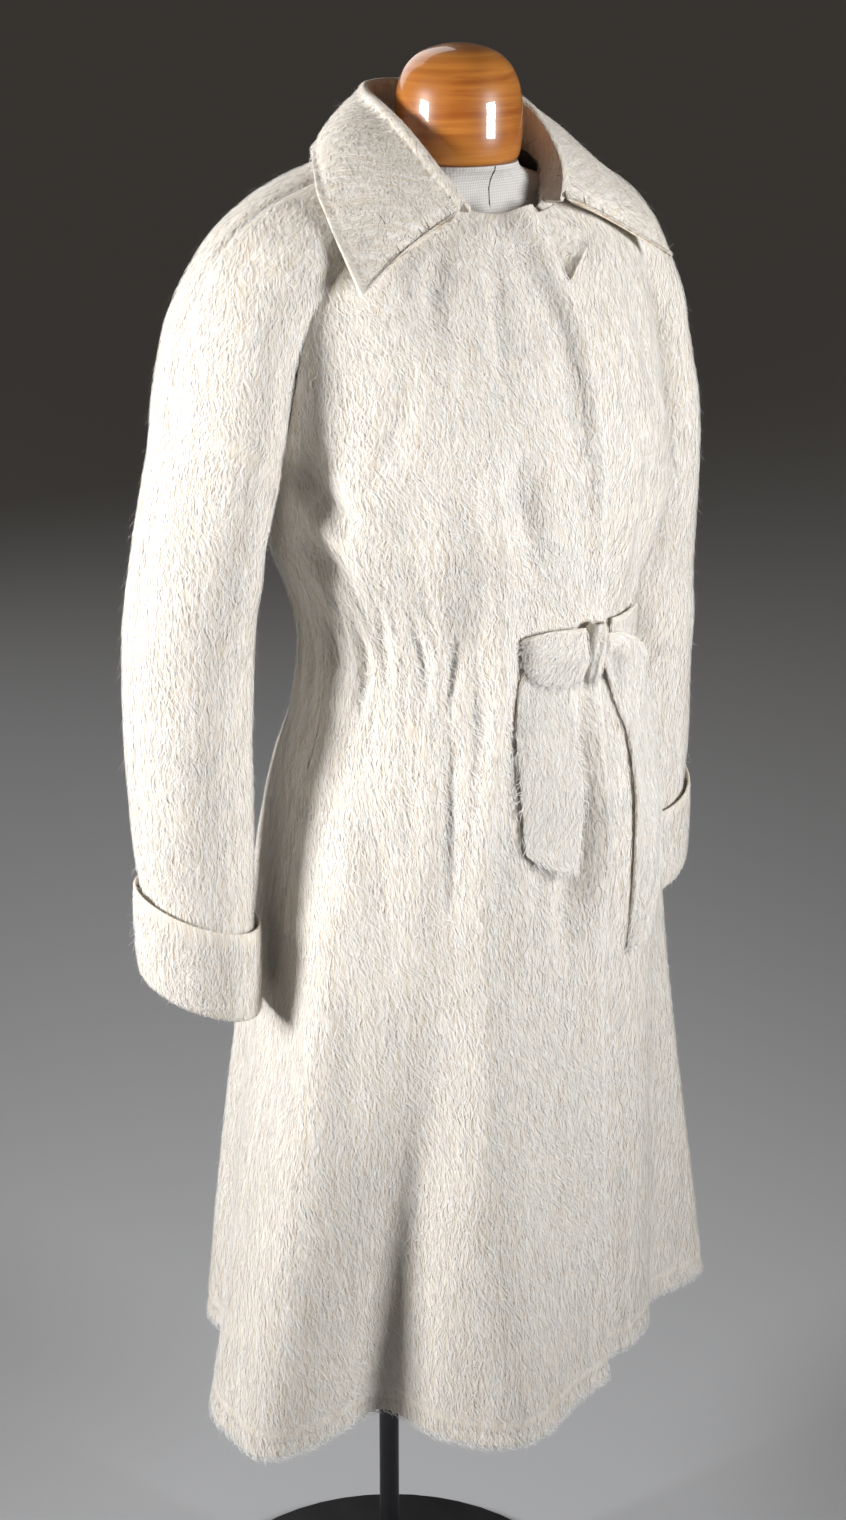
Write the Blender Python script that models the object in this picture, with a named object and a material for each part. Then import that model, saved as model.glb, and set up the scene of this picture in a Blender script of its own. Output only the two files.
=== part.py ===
"""A belted wool coat with raglan sleeves on a limbless dress form.

Metres, +Z up. The wearer faces -Y, so the wearer's right side is at -X and the
left side at +X. The pole of the form stands on the origin.
"""

import math

import bmesh
import bpy
import numpy as np

# Cloth
CLOTH = 0.004            # wall of the coat: woven ground with its flattened nap
BELT_CLOTH = 0.0036      # wall of the belt, two layers pressed flat
SEAM_GAP = 0.0004        # between pieces that are sewn together
REST_GAP = 0.0003        # between pieces that lie on each other
UNDERLAP_GAP = 0.0009    # between the right front and the left front below it

# Main sizes
WAIST = 1.050            # height of the belt's middle above the floor
UNDERARM = 1.205
BODY_X, BODY_Y = 0.010, -0.073   # the coat's own middle, seen from the pole
ROUND = 2.2              # exponent of the body's sections: 2 is an ellipse

# Body below the underarm, measured from the coat's own middle
BODY_COLUMNS = "height half_width front_y side_y back_y"
BODY_ROWS = (
    (0.385, 0.244, -0.197, 0.004, 0.204),
    (0.480, 0.231, -0.195, 0.003, 0.194),
    (0.600, 0.213, -0.191, 0.000, 0.181),
    (0.740, 0.193, -0.185, -0.006, 0.161),
    (0.860, 0.181, -0.178, -0.012, 0.138),
    (0.940, 0.168, -0.168, -0.018, 0.119),
    (1.000, 0.155, -0.155, -0.024, 0.100),
    (1.050, 0.151, -0.149, -0.026, 0.094),
    (1.090, 0.158, -0.152, -0.024, 0.097),
    (1.130, 0.172, -0.158, -0.016, 0.101),
    (1.170, 0.184, -0.163, -0.007, 0.105),
    (1.205, 0.190, -0.163, 0.000, 0.107),
)

# Body above the underarm: where each row starts at the front and back centre,
# where it meets the raglan seam, and how far its section has turned there.
# The last four columns are the sleeve's crest and the turn of its arc.
YOKE_COLUMNS = (
    "front_z front_y seam_x seam_y seam_z seam_turn "
    "back_z back_y back_seam_x back_seam_y back_seam_z back_turn "
    "crest_x crest_y crest_z arc_turn"
)
YOKE_ROWS = (
    (1.205, -0.163, 0.190, 0.000, 1.205, 90, 1.205, 0.107, 0.190, 0.000, 1.205, 90,
     0.272, 0.010, 1.262, 180),
    (1.235, -0.157, 0.190, -0.030, 1.235, 80, 1.238, 0.109, 0.190, 0.034, 1.240, 80,
     0.265, 0.010, 1.304, 150),
    (1.265, -0.148, 0.188, -0.040, 1.275, 74, 1.276, 0.110, 0.186, 0.052, 1.285, 72,
     0.254, 0.008, 1.342, 135),
    (1.300, -0.137, 0.183, -0.047, 1.315, 68, 1.318, 0.108, 0.178, 0.062, 1.330, 66,
     0.237, 0.006, 1.374, 118),
    (1.330, -0.124, 0.172, -0.055, 1.350, 62, 1.357, 0.103, 0.164, 0.068, 1.370, 60,
     0.211, 0.005, 1.401, 103),
    (1.355, -0.113, 0.152, -0.060, 1.378, 57, 1.392, 0.093, 0.142, 0.070, 1.401, 55,
     0.178, 0.004, 1.421, 90),
    (1.380, -0.101, 0.118, -0.060, 1.402, 53, 1.423, 0.080, 0.108, 0.066, 1.428, 50,
     0.139, 0.003, 1.435, 78),
    (1.395, -0.094, 0.090, -0.052, 1.420, 50, 1.441, 0.071, 0.080, 0.060, 1.443, 48,
     0.104, 0.002, 1.444, 68),
    (1.408, -0.087, 0.068, -0.041, 1.434, 48, 1.456, 0.062, 0.055, 0.050, 1.456, 45,
     0.074, 0.002, 1.452, 60),
)

# Sleeve below the underarm: its inner and outer points, and its depth
SLEEVE_COLUMNS = "station inner_x inner_z outer_x outer_z middle_y half_depth tilt"
SLEEVE_ROWS = (
    (0, 0.1906, 1.205, 0.273, 1.262, 0.005, 0.0650, 0.0),
    (1, 0.1925, 1.160, 0.284, 1.207, 0.010, 0.0640, 0.0),
    (2, 0.1940, 1.110, 0.294, 1.143, 0.019, 0.0605, 0.0),
    (3, 0.1940, 1.055, 0.301, 1.070, 0.028, 0.0565, 0.0),
    (4, 0.1950, 0.990, 0.302, 0.995, 0.030, 0.0540, 0.1),
    (5, 0.1960, 0.925, 0.300, 0.925, 0.029, 0.0525, 0.3),
    (6, 0.1980, 0.870, 0.298, 0.868, 0.027, 0.0505, 0.7),
    (7, 0.2000, 0.835, 0.295, 0.835, 0.025, 0.0480, 1.0),
    (8, 0.2010, 0.766, 0.293, 0.766, 0.025, 0.0470, 1.0),
)
SLEEVE_TILT = 0.42       # fall of the cuff's plane towards the inner front
SLEEVE_TILT_WAY = np.array((0.785, 0.620))   # the level way in which it rises

# The left sleeve hangs a little closer than the right one
LEAN_COLUMNS = "height inward down"
LEFT_LEAN = (
    (0.700, 0.000, 0.000), (0.950, 0.000, 0.000), (1.070, 0.004, 0.000), (1.200, 0.012, 0.002),
    (1.300, 0.016, 0.004), (1.370, 0.017, 0.004), (1.405, 0.009, 0.001), (1.430, 0.000, 0.000),
    (1.455, 0.000, 0.000),
)

# Front edges: how far each front reaches past the middle
EDGE_COLUMNS = "height overlap underlap"
EDGE_ROWS = (
    (0.385, 0.030, 0.040), (0.560, 0.026, 0.040), (0.790, 0.024, 0.040),
    (0.950, 0.033, 0.042), (1.050, 0.046, 0.045), (1.090, 0.045, 0.043),
    (1.170, 0.036, 0.038), (1.250, 0.033, 0.034), (1.310, 0.031, 0.028),
    (1.350, 0.021, 0.018), (1.408, 0.004, 0.004),
)

# Heights of the rows of points, and the angles of the columns at the waist
ROW_HEIGHTS = (
    0.385, 0.430, 0.480, 0.535, 0.595, 0.655, 0.715, 0.775, 0.830, 0.880, 0.925, 0.960,
    0.990, 1.015, 1.035, 1.050, 1.065, 1.085, 1.110, 1.140, 1.172, 1.205,
    1.235, 1.265, 1.300, 1.330, 1.355, 1.380, 1.395, 1.408,
)
FRONT_COLUMNS = {
    -1: (-13, -8, -1, 7, 15, 21.5, 27.5, 32, 36.5, 42.5, 48.5, 54.5, 60.5, 66, 72, 78, 84, 90),
    1: (-12, -6, 0, 8, 16, 23, 29, 35, 41, 47, 53, 59, 65, 71, 77.5, 84, 90),
}

# Gathers at the waist: shallow grooves that run up and down from the casing.
# Angles go round from the front middle, negative to the wearer's right.
GATHER_COLUMNS = "panels angle depth half_width rise fall"
GATHERS = (
    ("R", -27.5, 0.0040, 3.0, 0.035, 0.030), ("R", -36.5, 0.0075, 3.0, 0.030, 0.085),
    ("R", -48.5, 0.0070, 3.2, 0.045, 0.040), ("R", -60.5, 0.0060, 3.0, 0.070, 0.035),
    ("R", -72.0, 0.0070, 3.2, 0.060, 0.045), ("RB", -84.0, 0.0055, 3.2, 0.050, 0.050),
    ("B", -97.0, 0.0060, 3.2, 0.045, 0.060), ("B", -110.0, 0.0070, 3.4, 0.055, 0.035),
    ("B", -122.0, 0.0050, 3.0, 0.040, 0.050), ("B", -135.0, 0.0075, 3.4, 0.060, 0.070),
    ("B", -147.0, 0.0055, 3.0, 0.035, 0.045), ("B", -160.0, 0.0070, 3.2, 0.055, 0.035),
    ("B", -173.0, 0.0060, 3.2, 0.045, 0.075), ("B", 174.0, 0.0075, 3.2, 0.065, 0.045),
    ("B", 162.0, 0.0055, 3.0, 0.040, 0.035), ("B", 149.0, 0.0070, 3.2, 0.050, 0.060),
    ("B", 136.0, 0.0060, 3.4, 0.035, 0.045), ("B", 123.0, 0.0075, 3.2, 0.060, 0.050),
    ("B", 111.0, 0.0055, 3.0, 0.045, 0.035), ("B", 98.0, 0.0065, 3.2, 0.050, 0.065),
    ("L", 77.5, 0.0065, 3.2, 0.060, 0.040),
    ("L", 65.0, 0.0070, 3.2, 0.040, 0.055), ("L", 53.0, 0.0060, 3.0, 0.055, 0.035),
    ("L", 41.0, 0.0075, 3.2, 0.045, 0.070), ("L", 29.0, 0.0050, 3.0, 0.035, 0.045),
)
CASING_HALF = 0.018      # half height of the stretch where a gather is deepest

# Long folds of the skirt: each starts at a height and grows down to the hem
FOLD_COLUMNS = "panels hem_angle top_angle top_height depth half_width"
FOLDS = (
    ("R", -11.5, -30, 1.00, 0.047, 15.5), ("R", -42, -41, 0.90, -0.036, 10),
    ("R", -66, -68, 0.98, 0.067, 12), ("RB", -83, -82, 0.76, 0.032, 9),
    ("B", -113, -112, 0.93, -0.034, 14), ("B", -137, -138, 0.95, -0.012, 8),
    ("B", -162, -160, 0.92, -0.022, 9), ("B", -179, -176, 0.98, 0.022, 10),
    ("B", 161, 162, 0.88, -0.020, 9), ("B", 143, 146, 0.98, 0.020, 10),
    ("B", 123, 122, 0.90, -0.022, 9), ("LB", 103, 102, 0.86, 0.016, 10),
    ("LB", 80, 80, 0.86, 0.014, 10), ("L", 61, 62, 0.97, 0.020, 10),
    ("L", 38, 38, 0.92, -0.034, 13), ("L", 17, 20, 0.92, -0.014, 12),
)
FOLD_GROWTH = 1.25       # how late a fold gains its depth

# Short folds: ridges and hollows of a length of their own
CREASE_COLUMNS = "panels angle height depth half_width half_length lean"
CREASES = (
    ("R", -20.5, 1.035, 0.0080, 4.5, 0.120, 15), ("L", 23.0, 1.035, 0.0060, 4.5, 0.100, -15),
    ("R", -15.5, 1.170, 0.0050, 4.5, 0.050, -20), ("R", -7.5, 1.175, -0.0060, 5.0, 0.045, -30),
    ("R", 9.0, 1.230, -0.0035, 5.0, 0.110, 0), ("R", -56.0, 0.870, -0.0110, 6.0, 0.060, -90),
    ("R", -36.0, 0.860, -0.0080, 5.0, 0.070, 20), ("R", -62.0, 1.175, 0.0070, 12.0, 0.055, -60),
    ("R", -38.0, 1.340, -0.0045, 7.0, 0.035, -180), ("R", -34.0, 1.150, 0.0040, 6.0, 0.045, 60),
    ("L", 52.0, 1.170, 0.0060, 12.0, 0.055, 60), ("L", 30.0, 1.150, -0.0040, 6.0, 0.040, -40),
    ("B", -140.0, 1.150, 0.0080, 14.0, 0.055, 20), ("B", 138.0, 1.155, 0.0080, 14.0, 0.050, -20),
    ("B", 178.0, 1.130, 0.0050, 10.0, 0.040, 0), ("B", 160.0, 0.900, -0.0070, 6.0, 0.060, 30),
)

# The right front's edge rolls outwards near the neck
EDGE_ROLL_COLUMNS = "height lift"
EDGE_ROLL = ((0.385, 0.0), (1.100, 0.0), (1.230, 0.0025), (1.320, 0.0055), (1.408, 0.0070))
EDGE_ROLL_REACH = 0.011

# Collar, from the front end (share 0) to the back middle (share 1)
# The last two columns widen and lower the edge of the left half.
COLLAR_COLUMNS = "share roll_x roll_y roll_z edge_x edge_y edge_z bulge left_wide left_low"
COLLAR_ROWS = (
    (0.00, 0.050, -0.086, 1.421, 0.158, -0.094, 1.359, 0.002, 1.06, 0.000),
    (0.14, 0.057, -0.079, 1.433, 0.160, -0.067, 1.393, 0.003, 1.00, 0.000),
    (0.30, 0.066, -0.058, 1.456, 0.157, -0.037, 1.425, 0.005, 0.94, 0.001),
    (0.46, 0.070, -0.022, 1.483, 0.143, -0.008, 1.444, 0.006, 0.91, 0.002),
    (0.62, 0.065, 0.018, 1.498, 0.118, 0.028, 1.454, 0.006, 0.90, 0.004),
    (0.78, 0.045, 0.050, 1.504, 0.087, 0.066, 1.453, 0.005, 0.93, 0.002),
    (0.90, 0.020, 0.064, 1.504, 0.046, 0.088, 1.444, 0.004, 0.97, 0.000),
    (1.00, 0.000, 0.066, 1.503, 0.000, 0.094, 1.438, 0.003, 1.00, 0.000),
)
COLLAR_END_X = 0.048     # where the collar starts on each front
COLLAR_ROLL = 0.0065     # radius of the turned edge along its top
COLLAR_FOOT_RISE = 0.0024   # of the stand's foot above the neckline
COLLAR_SPREAD = 1.06     # the left half's roll starts a little further out
COLLAR_STATIONS = 13     # on each half

# Cuffs
CUFF_HEIGHT = 0.078
CUFF_HALF_WIDTH, CUFF_HALF_DEPTH = 0.0465, 0.0470
CUFF_SEGMENTS = 16
CUFF_PROFILE_COLUMNS = "offset share drop"   # share of the height, then metres down
CUFF_PROFILE = (
    (0.0011, 0.0, 0.0012), (0.0024, 1.0, 0.0), (0.0062, 1.0, 0.0), (0.0072, 0.5, 0.0),
    (0.0062, 0.0, -0.002), (0.0030, 0.0, 0.0045), (-0.0010, 0.0, 0.0045), (-0.0035, 0.0, 0.0012),
)

# Belt
BELT_WIDTH = 0.048
SLOT_X = -0.041          # where the belt leaves the casing on the right front
LEFT_BAND_X = 0.0626     # where it shows again on the left front
KNOT_X, KNOT_OFF, KNOT_Z = 0.031, 0.0125, WAIST + 0.004
KNOT_SIZE = (0.013, 0.0105, 0.0265)       # half width, half depth, half height
SHORT_END_COLUMNS = "height left_x right_x left_off right_off"
SHORT_END = (
    (1.026, -0.046, 0.004, 0.0006, 0.0060), (1.000, -0.049, 0.000, 0.0025, 0.0120),
    (0.960, -0.052, -0.004, 0.0035, 0.0150), (0.920, -0.053, -0.008, 0.0035, 0.0160),
    (0.898, -0.051, -0.009, 0.0035, 0.0160), (0.884, -0.040, -0.009, 0.0045, 0.0155),
    (0.874, -0.022, -0.011, 0.0060, 0.0140),
)
LONG_END_COLUMNS = "x height off side_x side_z half_width"
LONG_END = (
    (0.0420, 1.056, 0.0190, 0.00, 1.00, 0.0190), (0.0560, 1.054, 0.0190, 0.15, 0.99, 0.0205),
    (0.0700, 1.048, 0.0185, 0.42, 0.90, 0.0220), (0.0820, 1.034, 0.0160, 0.74, 0.67, 0.0230),
    (0.0900, 1.010, 0.0125, 0.94, 0.34, 0.0238), (0.0930, 0.968, 0.0085, 1.00, 0.05, 0.0240),
    (0.0910, 0.922, 0.0065, 1.00, 0.00, 0.0240), (0.0850, 0.876, 0.0060, 1.00, 0.00, 0.0240),
    (0.0770, 0.834, 0.0060, 1.00, 0.00, 0.0205), (0.0690, 0.802, 0.0060, 1.00, 0.00, 0.0120),
    (0.0645, 0.785, 0.0060, 1.00, 0.00, 0.0050),
)

# The left front's upper corner, turned out over the panel
CORNER_ROWS = (   # height, then x of its outer edge
    (1.352, 0.034), (1.362, 0.046), (1.374, 0.061), (1.384, 0.056), (1.394, 0.046), (1.403, 0.036),
)
CORNER_STAND_OFF = 0.0006

# Dress form
FORM_COLUMNS = "height half_width front_y side_y back_y"
FORM_ROWS = (
    (0.860, 0.137, -0.118, -0.018, 0.082), (0.870, 0.142, -0.123, -0.018, 0.088),
    (0.930, 0.138, -0.124, -0.020, 0.084), (1.000, 0.122, -0.112, -0.024, 0.066),
    (1.050, 0.115, -0.106, -0.026, 0.060), (1.100, 0.122, -0.114, -0.024, 0.066),
    (1.160, 0.140, -0.128, -0.018, 0.078), (1.220, 0.152, -0.130, -0.010, 0.086),
    (1.280, 0.160, -0.118, -0.004, 0.088), (1.335, 0.165, -0.098, 0.000, 0.088),
    (1.370, 0.162, -0.078, 0.004, 0.078), (1.395, 0.150, -0.062, 0.006, 0.066),
    (1.412, 0.126, -0.054, 0.004, 0.056), (1.424, 0.096, -0.053, 0.000, 0.047),
    (1.431, 0.070, -0.055, -0.006, 0.040), (1.436, 0.055, -0.058, -0.010, 0.036),
    (1.439, 0.0490, -0.0605, -0.014, 0.0335), (1.4425, 0.0470, -0.061, -0.014, 0.033),
)
FORM_SEGMENTS = 36
CAP_Y = -0.014
CAP_PROFILE = (          # height above the cap's underside, then radius
    (0.000, 0.046), (0.002, 0.0485), (0.008, 0.0505), (0.022, 0.0520), (0.040, 0.0520),
    (0.055, 0.0500), (0.068, 0.0450), (0.078, 0.0365), (0.084, 0.0260), (0.0875, 0.0130),
)
CAP_SEGMENTS = 32
POLE_RADIUS = 0.0095
POLE_SEGMENTS = 20
BASE_RADIUS = 0.195
BASE_PROFILE = (         # height above the floor, then radius
    (0.000, BASE_RADIUS - 0.002), (0.002, BASE_RADIUS), (0.007, BASE_RADIUS),
    (0.010, BASE_RADIUS - 0.003), (0.014, 0.060), (0.018, 0.030), (0.040, 0.020),
)
BASE_SEGMENTS = 48

# Finishes: colour, roughness, metallic
FINISHES = {
    "wool": ((0.80, 0.755, 0.665), 0.95, 0.0),
    "belt_wool": ((0.79, 0.745, 0.655), 0.95, 0.0),
    "linen": ((0.62, 0.61, 0.60), 0.90, 0.0),
    "varnished_wood": ((0.52, 0.21, 0.045), 0.18, 0.0),
    "dark_metal": ((0.045, 0.045, 0.05), 0.40, 0.8),
}


class Table:
    """A short table with named columns, read smoothly between its rows."""

    def __init__(self, columns, rows):
        """Keep the columns' names and the slope of each column at each row."""
        self.names = columns.split()
        self.rows = np.array(rows, dtype=float)
        keys = self.rows[:, 0]
        step = np.diff(keys)
        slope = np.diff(self.rows, axis=0) / step[:, None]
        self.slopes = np.zeros_like(self.rows)
        self.slopes[0] = slope[0]
        self.slopes[-1] = slope[-1]
        before, after = slope[:-1], slope[1:]
        near, far = (2 * step[1:] + step[:-1])[:, None], (step[1:] + 2 * step[:-1])[:, None]
        turning = before * after <= 0
        safe_before = np.where(turning, 1.0, before)
        safe_after = np.where(turning, 1.0, after)
        mean = (near + far) / (near / safe_before + far / safe_after)
        self.slopes[1:-1] = np.where(turning, 0.0, mean)

    def at(self, key):
        """Return the columns at one value of the first column, by name."""
        keys = self.rows[:, 0]
        i = int(np.clip(np.searchsorted(keys, key) - 1, 0, len(keys) - 2))
        step = keys[i + 1] - keys[i]
        t = (key - keys[i]) / step
        value = (
            (1 + 2 * t) * (1 - t) ** 2 * self.rows[i]
            + t * (1 - t) ** 2 * step * self.slopes[i]
            + t * t * (3 - 2 * t) * self.rows[i + 1]
            + t * t * (t - 1) * step * self.slopes[i + 1]
        )
        return dict(zip(self.names, value))


def body_rows():
    """Return the whole body's rows, from the hem to the neck, in the yoke's columns."""
    rows = []
    for height, half_width, front_y, side_y, back_y in BODY_ROWS[:-1]:
        rows.append((height, front_y, half_width, side_y, height, 90,
                     height, back_y, half_width, side_y, height, 90,
                     half_width, side_y, height, 180))
    return rows + list(YOKE_ROWS)


BODY = Table(YOKE_COLUMNS, body_rows())
EDGES = Table(EDGE_COLUMNS, EDGE_ROWS)
SLEEVE = Table(SLEEVE_COLUMNS, SLEEVE_ROWS)
COLLAR = Table(COLLAR_COLUMNS, COLLAR_ROWS)
FORM = Table(FORM_COLUMNS, FORM_ROWS)
ROLL = Table(EDGE_ROLL_COLUMNS, EDGE_ROLL)
LEAN = Table(LEAN_COLUMNS, LEFT_LEAN)
POWER = 2 / ROUND


def ease(t):
    """Return 0 below 0, 1 above 1 and a smooth step between."""
    t = min(max(t, 0.0), 1.0)
    return t * t * (3 - 2 * t)


def bump(distance, half_width):
    """Return a smooth bump that is 1 at distance 0."""
    return math.exp(-((distance / half_width) ** 2))


def turned(value):
    """Return a sine or cosine bent to the body's rounder section."""
    return math.copysign(abs(value) ** POWER, value)


def edge_turn(width, key, side):
    """Return how far past the middle a front's section starts, in degrees."""
    reach = EDGES.at(key)["overlap" if side < 0 else "underlap"]
    return -math.degrees(math.asin((reach / width) ** (1 / POWER)))


def front_width(row):
    """Return the half width that a front's section would have at a full turn."""
    return row["seam_x"] / turned(math.sin(math.radians(row["seam_turn"])))


def waist_label(turn, key, side):
    """Return the angle at the waist of the column that has this turn at a height."""
    row = BODY.at(key)
    start = edge_turn(front_width(row), key, side)
    waist = BODY.at(WAIST)
    waist_start = edge_turn(front_width(waist), WAIST, side)
    share = (turn - start) / (row["seam_turn"] - start)
    return waist_start + (90 - waist_start) * share


def around(first, second):
    """Return the distance between two angles, the short way round."""
    return (first - second + 180) % 360 - 180


def relief(panel, angle, height):
    """Return how far folds, creases and gathers move a panel outwards."""
    total = 0.0
    for panels, hem_angle, top_angle, top, depth, half_width in FOLDS:
        if panel in panels and height < top:
            share = (top - height) / (top - BODY_ROWS[0][0])
            centre = top_angle + (hem_angle - top_angle) * share
            total += depth * share ** FOLD_GROWTH * bump(around(angle, centre), half_width)
    for panels, centre, middle, depth, half_width, half_length, lean in CREASES:
        if panel in panels:
            along = height - middle
            off = around(angle, centre + lean * along)
            total += depth * bump(off, half_width) * bump(along, half_length)
    for panels, centre, depth, half_width, rise, fall in GATHERS:
        if panel in panels:
            along = max(abs(height - WAIST) - CASING_HALF, 0.0)
            reach = rise if height > WAIST else fall
            total -= depth * bump(around(angle, centre), half_width) * bump(along, reach)
    return total


def yoke_fade(height, share):
    """Return how much relief is left near the raglan seam."""
    above = ease((height - 1.15) / (UNDERARM - 1.15))
    return 1 - above * ease((share - 0.55) / 0.45)


def front_grid(side):
    """Return a front panel's outer points, hem to neck and front edge to seam."""
    labels = np.array(FRONT_COLUMNS[side], dtype=float)
    waist_start = edge_turn(front_width(BODY.at(WAIST)), WAIST, side)
    labels[0] = waist_start
    grid = []
    for key in ROW_HEIGHTS:
        row = BODY.at(key)
        width = front_width(row)
        end = row["seam_turn"]
        start = edge_turn(width, key, side)
        depth = (row["seam_y"] - row["front_y"]) / (1 - turned(math.cos(math.radians(end))))
        points = []
        for label in labels:
            share = (label - waist_start) / (90 - waist_start)
            turn = start + (end - start) * share
            sine, cosine = math.sin(math.radians(turn)), math.cos(math.radians(turn))
            x = width * turned(sine)
            y = row["seam_y"] - depth * (turned(cosine) - turned(math.cos(math.radians(end))))
            z = key + (row["seam_z"] - key) * (max(turn, 0.0) / end) ** 2
            if side < 0:
                lift = relief("R", -label, key)
            else:
                over = ease((0.100 - x) / 0.040)
                lift = relief("L", label, key)
                lift += over * (relief("R", -waist_label(-turn, key, -1), key) - lift)
            lift *= yoke_fade(key, share)
            normal = np.array((sine / width, -cosine / depth, 0.0))
            normal /= np.linalg.norm(normal)
            points.append(np.array((x, y, z)) + normal * lift)
        grid.append(points)
    grid = np.array(grid)
    grid[:, :, 0] *= side
    if side < 0:
        return roll_edge(grid)
    return tuck_under(grid)


def roll_edge(grid):
    """Lift the right front's edge outwards near the neck."""
    normals = outward_normals(grid)
    for r, key in enumerate(ROW_HEIGHTS):
        away = np.linalg.norm(grid[r] - grid[r, 0], axis=1)
        lift = ROLL.at(key)["lift"]
        for c in range(grid.shape[1]):
            grid[r, c] += normals[r, c] * lift * bump(away[c], EDGE_ROLL_REACH)
    return grid


def tuck_under(grid):
    """Move the left front below the right one where they overlap."""
    normals = outward_normals(grid)
    tucked = grid.copy()
    for r, key in enumerate(ROW_HEIGHTS):
        hang = 0.009 * ease((0.95 - key) / 0.5)
        for c in range(grid.shape[1]):
            over = ease((0.098 - grid[r, c, 0]) / 0.045)
            hidden = 0.004 * ease((0.015 - grid[r, c, 0]) / 0.045)
            tucked[r, c] -= normals[r, c] * over * (CLOTH + UNDERLAP_GAP + hang + hidden)
        lift = 0.010 * ease((0.60 - key) / 0.2)
        tucked[r, :, 2] += lift * np.array([ease((0.16 - x) / 0.10) for x in grid[r, :, 0]])
    return tucked


def back_columns():
    """Return the back's column angles at the waist: gathers and the crests between."""
    grooves = sorted(
        -180 - a if a < 0 else 180 - a for p, a, *_ in GATHERS if p == "B"
    )
    grooves = [-90.0] + sorted(grooves) + [90.0]
    columns = []
    for left, right in zip(grooves, grooves[1:]):
        columns += [left, (left + right) / 2]
    return columns + [90.0]


def back_grid():
    """Return the back's outer points, hem to neck and right side to left side."""
    grid = []
    for key in ROW_HEIGHTS:
        row = BODY.at(key)
        end = row["back_turn"]
        width = row["back_seam_x"] / turned(math.sin(math.radians(end)))
        cos_end = turned(math.cos(math.radians(end)))
        depth = (row["back_y"] - row["back_seam_y"]) / (1 - cos_end)
        points = []
        for label in back_columns():
            share = label / 90
            turn = end * share
            sine, cosine = math.sin(math.radians(turn)), math.cos(math.radians(turn))
            x = width * turned(sine)
            y = row["back_seam_y"] + depth * (turned(cosine) - cos_end)
            z = row["back_z"] + (row["back_seam_z"] - row["back_z"]) * share ** 2
            angle = -180 - label if label < 0 else 180 - label
            lift = relief("B", angle, key) * yoke_fade(key, abs(share))
            normal = np.array((sine / width, cosine / depth, 0.0))
            normal /= np.linalg.norm(normal)
            points.append(np.array((x, y, z)) + normal * lift)
        grid.append(points)
    return np.array(grid)


def leant(point, side):
    """Move a point of the left sleeve's crest in and down; leave the right's alone."""
    if side < 0:
        return point
    row = LEAN.at(point[2])
    return point - (row["inward"], 0, row["down"])


def sleeve_arc(row, side, sweep):
    """Return one row of a sleeve above the underarm, front seam to back seam."""
    front = np.array((row["seam_x"], row["seam_y"], row["seam_z"]))
    back = np.array((row["back_seam_x"], row["back_seam_y"], row["back_seam_z"]))
    crest = leant(np.array((row["crest_x"], row["crest_y"], row["crest_z"])), side)
    turn = math.radians(row["arc_turn"])
    middle = (front + back) / 2
    up = (crest - middle) / (1 - math.cos(turn))
    centre = crest - up
    across = (back - front) / 2 / math.sin(turn)
    points = [centre + up * math.cos(turn * s) + across * math.sin(turn * s) for s in sweep]
    return np.array(points) * (side, 1, 1)


def sleeve_ring(station, side, sweep):
    """Return one row of a sleeve below the underarm, inner seam round to inner seam."""
    row = SLEEVE.at(station)
    inner = np.array((row["inner_x"], row["middle_y"], row["inner_z"]))
    outer = np.array((row["outer_x"], row["middle_y"], row["outer_z"]))
    if station == 0:
        inner[1], outer[1] = 0.000, 0.010
    outer = leant(outer, side)
    centre, up = (inner + outer) / 2, (outer - inner) / 2
    across = np.array((0, row["half_depth"], 0))
    points = np.array([
        centre + up * math.cos(math.pi * s) + across * math.sin(math.pi * s) for s in sweep
    ])
    fall = (points - centre)[:, :2] @ SLEEVE_TILT_WAY
    points[:, 2] += SLEEVE_TILT * row["tilt"] * fall
    return points * (side, 1, 1)


def sleeve_grid(side, half, segments=8, stations=17):
    """Return half a sleeve's outer points, neck to cuff, as rows from seam to seam."""
    sweep = np.linspace(-1, 0, segments + 1) if half == "front" else np.linspace(0, 1, segments + 1)
    rows = [sleeve_arc(BODY.at(key), side, sweep) for key in reversed(ROW_HEIGHTS) if key > UNDERARM]
    rows += [sleeve_ring(s, side, sweep) for s in np.linspace(0, 8, stations)]
    return np.array(rows)


def outward_normals(grid):
    """Return unit normals that point away from a grid's hollow side."""
    normals = np.cross(np.gradient(grid, axis=1), np.gradient(grid, axis=0))
    normals /= np.maximum(np.linalg.norm(normals, axis=2, keepdims=True), 1e-12)
    outwards = grid - grid.mean(axis=1, keepdims=True)
    if (normals * outwards).sum() < 0:
        normals = -normals
    return normals


def join_normals(first, second):
    """Give two seam edges the same normals, except where they face each other."""
    total = first + second
    length = np.linalg.norm(total, axis=1, keepdims=True)
    shared = np.where((first * second).sum(axis=1, keepdims=True) > 0.05, 1.0, 0.0)
    mean = total / np.maximum(length, 1e-9)
    first[:] = shared * mean + (1 - shared) * first
    second[:] = shared * mean + (1 - shared) * second


def open_seam(grid, column):
    """Draw one edge column of a grid in by half the seam's gap."""
    beside = grid[:, 1] if column == 0 else grid[:, -2]
    pull = beside - grid[:, column]
    pull /= np.maximum(np.linalg.norm(pull, axis=1, keepdims=True), 1e-9)
    grid[:, column] += pull * SEAM_GAP / 2


def finish(name):
    """Return a material by its finish's name, made once."""
    material = bpy.data.materials.get(name)
    if material is None:
        colour, roughness, metallic = FINISHES[name]
        material = bpy.data.materials.new(name)
        material.use_nodes = True
        shader = material.node_tree.nodes["Principled BSDF"]
        shader.inputs["Base Color"].default_value = (*colour, 1.0)
        shader.inputs["Roughness"].default_value = roughness
        shader.inputs["Metallic"].default_value = metallic
    return material


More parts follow.
